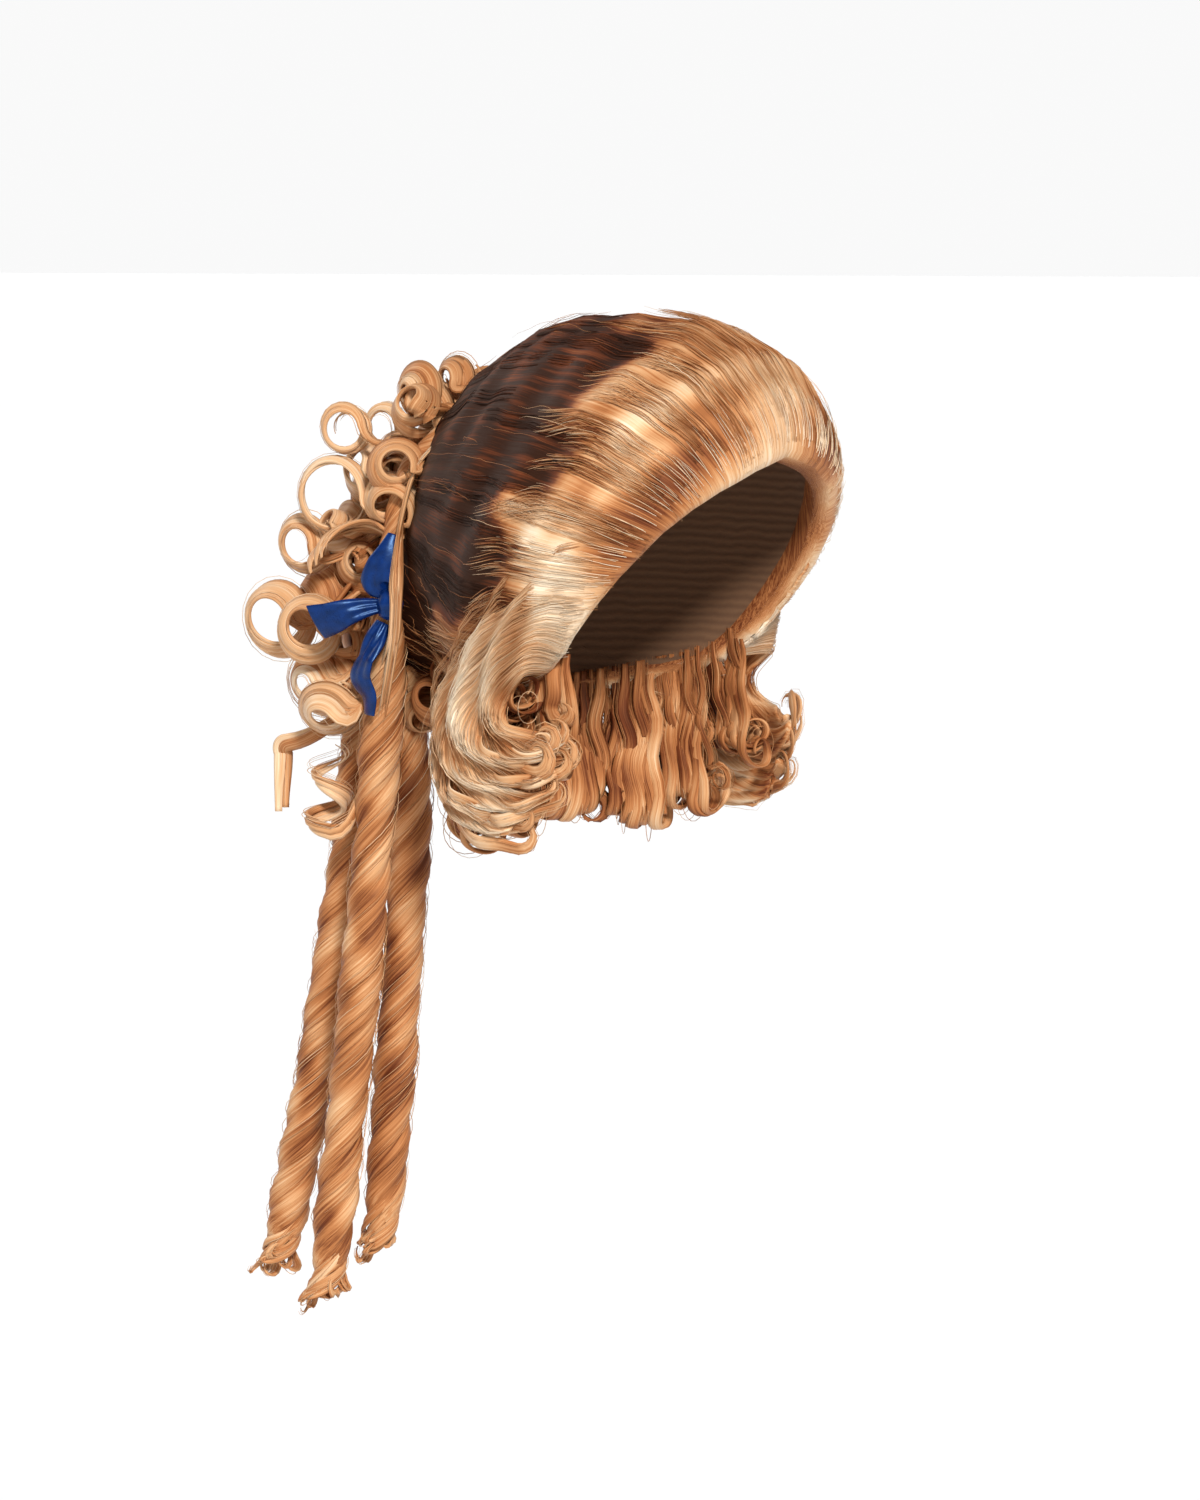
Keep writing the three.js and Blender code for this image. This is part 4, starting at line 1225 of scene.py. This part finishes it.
# %% Ringlets
RINGLET_SIDES, RINGLET_TONE, RINGLET_FIBRES = 36, 0.345, 34
END_LOCKS, END_POINTS, END_TONE, END_FIBRES = 9, 26, 0.5, 3
rng = np.random.default_rng(53)
for name, values in RINGLETS.items():
    row = dict(zip(RINGLET_COLUMNS, values))
    line = ringlet_line(row)
    along, side, thick = sweep_frame(line, np.array([1.0, 0, 0]))
    run = lengths_along(line)
    share = run / run[-1]
    grow = mix(0.5, 1, ease(share, 0, 0.35))
    close = np.sqrt(np.clip(1 - (np.maximum(0, share - 0.93) / 0.085) ** 2, 0.02, 1))
    uneven = 1 + 0.04 * np.sin(run / 17 + row["phase"]) + 0.03 * np.sin(run / 7.3)
    turn = np.arange(RINGLET_SIDES) * 2 * np.pi / RINGLET_SIDES
    deep = 1 + 0.35 * np.sin(run / 23 + row["phase"] * 2)[:, None]
    lobes = RINGLET_LOBE * (0.95 * np.abs(np.cos(turn * 1.5)) ** 0.8 - 0.85) * deep
    ridges = 0.2 * np.sin(turn * 11 + 1 + 1.5 * np.sin(run / 31)[:, None]) + 0.12 * np.sin(turn * 17)
    r = (RINGLET_RADIUS + lobes + ridges) * (grow * close * uneven)[:, None]
    slip = 14 * np.sin(run / 41 + row["phase"])
    twist = np.radians(run * 360 / RINGLET_PITCH + row["phase"] + slip)[:, None] + turn
    across = side[:, None] * (r * np.cos(twist))[..., None]
    rings = line[:, None] + across + thick[:, None] * (r * np.sin(twist))[..., None]
    grain = np.stack([r * np.cos(turn), r * np.sin(turn), run[:, None] + 0 * r], axis=-1)
    grain = grain + rng.uniform(-400, 400, 3)
    groove = np.abs(np.cos(turn * 1.5))[None, :] ** 0.7
    # The second ringlet is a little darker, in the shade of the others.
    base = RINGLET_TONE - 0.06 * (name == "ringlet_2")
    # Lighter on the lobes and darker in the grooves between the turns, painted highlight and painted shade,
    # and lighter near the top, a painted light.
    tone = base + 0.15 * groove + 0.12 * patchy(rings, 14) + 0.07 * (1 - ease(share, 0.1, 0.4))[:, None]
    tress = Tress()
    tress.add_rings(rings, grain, tone)
    for _ in range(RINGLET_FIBRES):
        start = rng.integers(20, 160)
        pick = np.arange(start, min(RINGLET_POINTS - 1, start + rng.integers(30, 90)), 3)
        spot = twist[pick, rng.integers(0, RINGLET_SIDES)]
        reach = r[pick].max(axis=1) + rng.uniform(0.1, 0.7)
        across = side[pick] * (reach * np.cos(spot))[:, None]
        fibre = line[pick] + across + thick[pick] * (reach * np.sin(spot))[:, None]
        add_strands(tress, rng, fibre[None], rng.uniform(0.1, 0.2), rng.uniform(0.4, 0.72))
    for i in range(END_LOCKS):
        step = np.linspace(0, 1, END_POINTS)[:, None]
        spot = i * 2 * np.pi / END_LOCKS + rng.normal(0, 0.2) + 2 * np.pi * step * rng.uniform(0.5, 0.95)
        reach = RINGLET_RADIUS * mix(0.72, rng.uniform(0.45, 1.15), step**2)
        drop = mix(-24, rng.uniform(1, 9), step)
        spoke = side[-1] * np.cos(spot) + thick[-1] * np.sin(spot)
        tail = line[-1] + along[-1] * drop + reach * spoke
        wide = np.cross(spoke, along[-1])
        tail = curl_up(tail, rng.uniform(3.5, 6), rng.uniform(0.5, 0.95), rng.uniform(0, 3))
        wide = np.vstack([wide, np.repeat(wide[-1:], len(tail) - len(wide), axis=0)])
        add_lock(tress, rng, tail, wide, rng.uniform(3.5, 5.5), rng.uniform(1.2, 2), END_TONE, tip=0.1)
        lines = tail[None] + rng.normal(0, 0.8, (END_FIBRES, 1, 3))
        add_strands(tress, rng, lines, rng.uniform(0.12, 0.22, END_FIBRES), END_TONE + 0.12)
    hang(tress.make(name + "_hair", curl_finish), "hair_deep", name)

# %% [markdown]
# ## Satin
#
# Satin is woven so that long floats lie on its face, which gives it a broad soft shine. A fine weave
# in the bump, slow wrinkles and a shine of the ribbon's own colour are enough for a narrow ribbon.

# %% Ribbon material
SATIN_TINT, SHADE_BLUE, ROYAL_BLUE = (0.35, 0.6, 1.0, 1), (0.0008, 0.003, 0.02), (0.002, 0.026, 0.16)
THREAD_SIZE, WRINKLE_SIZE = (5.0, 5.0, 1.6), 0.22
satin, satin_shader, cloth = new_material("royal_satin", Specular_IOR_Level=0.45, Specular_Tint=SATIN_TINT)
where = cloth.node("Attribute", {"attribute_name": "grain"}, out="Vector")
weave_size = cloth.node("VectorMath", {"operation": "MULTIPLY"}, in0=where, in1=THREAD_SIZE)
threads = cloth.node("TexNoise", out="Fac", Vector=weave_size, Scale=1.0, Detail=2.0)
slow = cloth.node("TexNoise", out="Fac", Vector=where, Scale=WRINKLE_SIZE, Detail=2.0)
# The blue goes from a painted shade in the wrinkles' dips to royal blue on their rises.
blue_stops = {"stops": [(0.25, SHADE_BLUE), (0.75, ROYAL_BLUE)]}
blue = cloth.node("ValToRGB", blue_stops, out="Color", Fac=threads * 0.4 + slow * 0.6)
connect(satin.node_tree, blue, satin_shader.inputs["Base Color"])
connect(satin.node_tree, threads * 0.2 + 0.2, satin_shader.inputs["Roughness"])
folds = cloth.node("Bump", out="Normal", Strength=0.5, Distance=0.0006, Height=slow * 0.8 + threads * 0.15)
connect(satin.node_tree, folds, satin_shader.inputs["Normal"])
print("satin ready")

# %% [markdown]
# ## The bow
#
# One ribbon is tied round the gathered hair at the first ringlet's root. Its ends are strips that
# twist as they leave the knot. Each strip is swept like a lock, but with a flat section and pleats
# that fade out from the knot.

# %% Bow ends
RIBBON_WIDTH, RIBBON_THICKNESS, PLEAT_DEPTH, RIBBON_POINTS = 18, 0.5, 0.5, 48
BOW_REACH, KNOT_WIDTH, KNOT_HEIGHT = 30, 11, 14
bow_out = direction(146, 0.0)
bow_ahead = direction(56, 0.0)
bow_centre = on_hair(direction(151, -17), KNOT_WIDTH / 2 + GAP)
BOW_ENDS = {
    "bow_upper_loop": [
        [0.04, 0.16, 0, 0.4, 0], [0.16, 0.3, 0.08, 0.85, -10], [0.12, 0.5, 0.12, 0.75, -10],
        [0.02, 0.75, 0.1, 0.5, 0], [-0.06, 0.98, 0.02, 0.3, 10],
    ],
    "bow_left_end": [
        [0.16, -0.02, 0, 0.35, 0], [0.4, -0.06, 0.06, 0.5, 0], [0.62, -0.12, 0.1, 0.65, -10],
        [0.84, -0.2, 0.06, 0.85, -25], [1.06, -0.26, -0.02, 1, -30],
    ],
    "bow_lower_end": [
        [0.1, -0.26, 0, 0.35, 0], [0.22, -0.5, 0.06, 0.6, 30], [0.36, -0.8, 0.08, 0.75, 60],
        [0.42, -1.05, 0.04, 0.7, 40], [0.3, -1.3, 0.02, 0.6, 50], [0.3, -1.56, 0, 0.55, 60],
    ],
}


def add_ribbon(tress, line, width, turn):
    """A flat strip whose width leans by turn, with pleats that fade along it."""
    _, side, thick = sweep_frame(line, bow_ahead)
    across = np.linspace(-1, 1, 13)
    run = lengths_along(line)
    share = run / run[-1]
    wave = PLEAT_DEPTH * (1 - ease(share, 0.2, 0.8))[:, None] * np.cos(across * 9)[None, :]
    middle = wave + 0.9 * (1 - across**2)[None, :] * (0.4 + share)[:, None]
    w = np.concatenate([across, across[::-1]])[None, :] * (width / 2)[:, None]
    half = RIBBON_THICKNESS / 2
    lift = np.concatenate([middle + half, (middle - half)[:, ::-1]], axis=1)
    lean = np.radians(turn)[:, None]
    u = lift * np.cos(lean) - w * np.sin(lean)
    v = lift * np.sin(lean) + w * np.cos(lean)
    rings = line[:, None] + side[:, None] * u[..., None] + thick[:, None] * v[..., None]
    grain = np.stack([w, 0 * w, run[:, None] + 0 * w], axis=-1)
    tress.add_rings(rings[:, ::-1], grain[:, ::-1], 0.5 + 0 * w)


for name, rows in BOW_ENDS.items():
    rows = np.array(rows, float)
    ways = rows[:, :1] * bow_out + rows[:, 1:2] * UP + rows[:, 2:3] * bow_ahead
    line = smooth_line(bow_centre + BOW_REACH * ways, RIBBON_POINTS)
    place = np.linspace(0, len(rows) - 1, RIBBON_POINTS)
    width = np.interp(place, np.arange(len(rows)), rows[:, 3]) * RIBBON_WIDTH
    turn = np.interp(place, np.arange(len(rows)), rows[:, 4])
    tress = Tress()
    add_ribbon(tress, line, width, turn)
    piece = tress.make(name + "_satin", satin)
    length = lengths_along(line)[-1]
    hang(piece, "satin", name)
    width.max() * MM
    length * MM
    print(name, "flat", round(float(width.max()), 1), "by", round(float(length), 1), "mm")

# %% Bow knot
KNOT_ROWS, KNOT_SIDES = 30, 36
rise = np.linspace(-0.98, 0.98, KNOT_ROWS)
around = np.arange(KNOT_SIDES) * 2 * np.pi / KNOT_SIDES
profile = np.sqrt(1 - np.abs(rise) ** 2.6)
pleats = 1 + 0.05 * np.cos(7 * around)[None, :] + 0.05 * np.cos(9 * rise)[:, None]
reach = KNOT_WIDTH / 2 * profile[:, None] * pleats
level = KNOT_HEIGHT / 2 * rise[:, None]
rings = (
    bow_centre
    + UP * level[..., None]
    + bow_out * (reach * np.cos(around))[..., None]
    + bow_ahead * (reach * np.sin(around))[..., None]
)
knot_grain = np.stack([reach * np.cos(around), reach * np.sin(around), level + 0 * reach], axis=-1)
knot = Tress()
knot.add_rings(rings, knot_grain, 0.5 + 0 * reach)
hang(knot.make("bow_knot_satin", satin), "satin", "bow_knot")

# %% [markdown]
# ## Strands over the knot
#
# In the photograph the bow isn't on top of the hair but between its strands. Thin locks come out of
# the mound above the knot, run down over it and go on into the first ringlet, which ties the two
# together.

# %% Strands that run down over the knot into the first ringlet
GATHER_STRANDS, GATHER_FIBRES = 10, 7
# The strands end between these points of the ringlet's line.
JOIN_FIRST, JOIN_LAST = 58, 78
rng = np.random.default_rng(59)
ringlet_top = ringlet_line(dict(zip(RINGLET_COLUMNS, RINGLETS["ringlet_1"])))
gathered = Tress()
for _ in range(GATHER_STRANDS):
    shift = rng.uniform(-3, 3)
    low = ringlet_top[rng.integers(JOIN_FIRST, JOIN_LAST)] + bow_ahead * 7 - bow_out * (0.5 + 0.7 * shift)
    line = smooth_line([
        on_hair(direction(150 + shift / 2, 30.0), -6.0),
        on_hair(direction(150 + shift / 2, 19.0), 0.0),
        on_hair(direction(150 + shift / 2, 6.0), 2.0),
        bow_centre + bow_ahead * 6.5 - bow_out * (3.5 + shift) + UP * 10,
        bow_centre + bow_ahead * rng.uniform(6.5, 8) - bow_out * (3.5 + 0.8 * shift),
        bow_centre + bow_ahead * 6.5 - bow_out * (2.5 + 0.8 * shift) - UP * 13,
        low,
        low - UP * 14 + bow_out * 2 - bow_ahead * 2,
    ], 60)
    outward = unit((line - HEAD) * np.array([1, 1, 0.2]))
    across = np.cross(unit(np.gradient(line, axis=0)), outward)
    line = line + across * (0.7 * np.sin(lengths_along(line) / 10 + rng.uniform(0, 6)))[:, None]
    tone = rng.uniform(0.46, 0.62) + 0.1 * np.sin(lengths_along(line) / 14 + 1)
    add_lock(gathered, rng, line, across, rng.uniform(3, 4.5), rng.uniform(0.9, 1.4), tone, tip=0.1)
    aside = across * rng.uniform(-2.5, 2.5, (GATHER_FIBRES, 1, 1))
    fibres = line + aside + outward * rng.uniform(0.2, 0.9, (GATHER_FIBRES, 1, 1))
    add_strands(gathered, rng, fibres[:, ::2], rng.uniform(0.1, 0.18, GATHER_FIBRES), tone[::2] + 0.1)
hang(gathered.make("gathered_strands", curl_finish), "hair_light")

# %% [markdown]
# ## Stage and light
#
# The wig hangs above a plain pale floor. A large key light from above the camera models the roll, and
# leaves the valley in shade as in a studio portrait. A softer light from behind draws the curls'
# edges.

# %% Floor
FLOOR_HALF, FLOOR_Z = 300.0, cad_box[0][2] - 1.2
floor_corners = [
    (x * FLOOR_HALF, y * FLOOR_HALF, FLOOR_Z) for x, y in ((-1, -1), (1, -1), (1, 1), (-1, 1))
]
floor_mesh = bpy.data.meshes.new("floor")
floor_mesh.from_pydata(floor_corners, [], [(0, 1, 2, 3)])
floor = bpy.data.objects.new("floor", floor_mesh)
bpy.context.collection.objects.link(floor)
floor_finish, _, _ = new_material("pale_floor", Base_Color=(0.95, 0.95, 0.95, 1), Roughness=0.9)
floor_mesh.materials.append(floor_finish)
floor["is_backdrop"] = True
print("floor at", round(FLOOR_Z, 3), "m")

# %% Lights and sky
KEY_LIGHT, KEY_WIDTH, EDGE_LIGHT, EDGE_WIDTH = 3.75, 9, 0.9, 30
# The sky is brightest in a band at eye level, and dimmer above and below.
BAND_SKY, FAR_SKY, BAND_FROM, BAND_TO = 0.95, 0.3, 0.06, 0.3


def sun(name, way, strength, width):
    """A soft lamp far away, so that the floor is lit evenly; width is its size in degrees."""
    data = bpy.data.lights.new(name, "SUN")
    data.energy, data.angle = strength, math.radians(width)
    lamp = bpy.data.objects.new(name, data)
    bpy.context.collection.objects.link(lamp)
    lamp.rotation_mode = "QUATERNION"
    lamp.rotation_quaternion = (-Vector(way).normalized()).to_track_quat("-Z", "Y")


sun("key", camera_way + 0.18 * camera_right + 0.5 * UP, KEY_LIGHT, KEY_WIDTH)
sun("back_edge", -0.7 * camera_way - 0.9 * camera_right + 0.9 * UP, EDGE_LIGHT, EDGE_WIDTH)
world = bpy.data.worlds.new("studio")
bpy.context.scene.world = world
world.use_nodes = True
background = world.node_tree.nodes["Background"]
background.inputs["Color"].default_value = (1, 1, 1, 1)
sky = Socket(world.node_tree, None)
height = sky.node("SeparateXYZ", out="Z", in0=sky.node("TexCoord", out="Generated"))
level = height.maths("ABSOLUTE", height)
band = sky.node(
    "MapRange", {"interpolation_type": "SMOOTHSTEP"},
    in0=level, in1=BAND_FROM, in2=BAND_TO, in3=BAND_SKY, in4=FAR_SKY,
)
connect(world.node_tree, band, background.inputs["Strength"])
bpy.context.scene.view_settings.view_transform = "Standard"

# %% [markdown]
# ## Measure and finish
#
# The dressed wig must fill the same box as the imported one, so its box is printed.

# %% Sizes
low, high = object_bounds()
print("visual box", [round(v, 4) for v in low], [round(v, 4) for v in high])
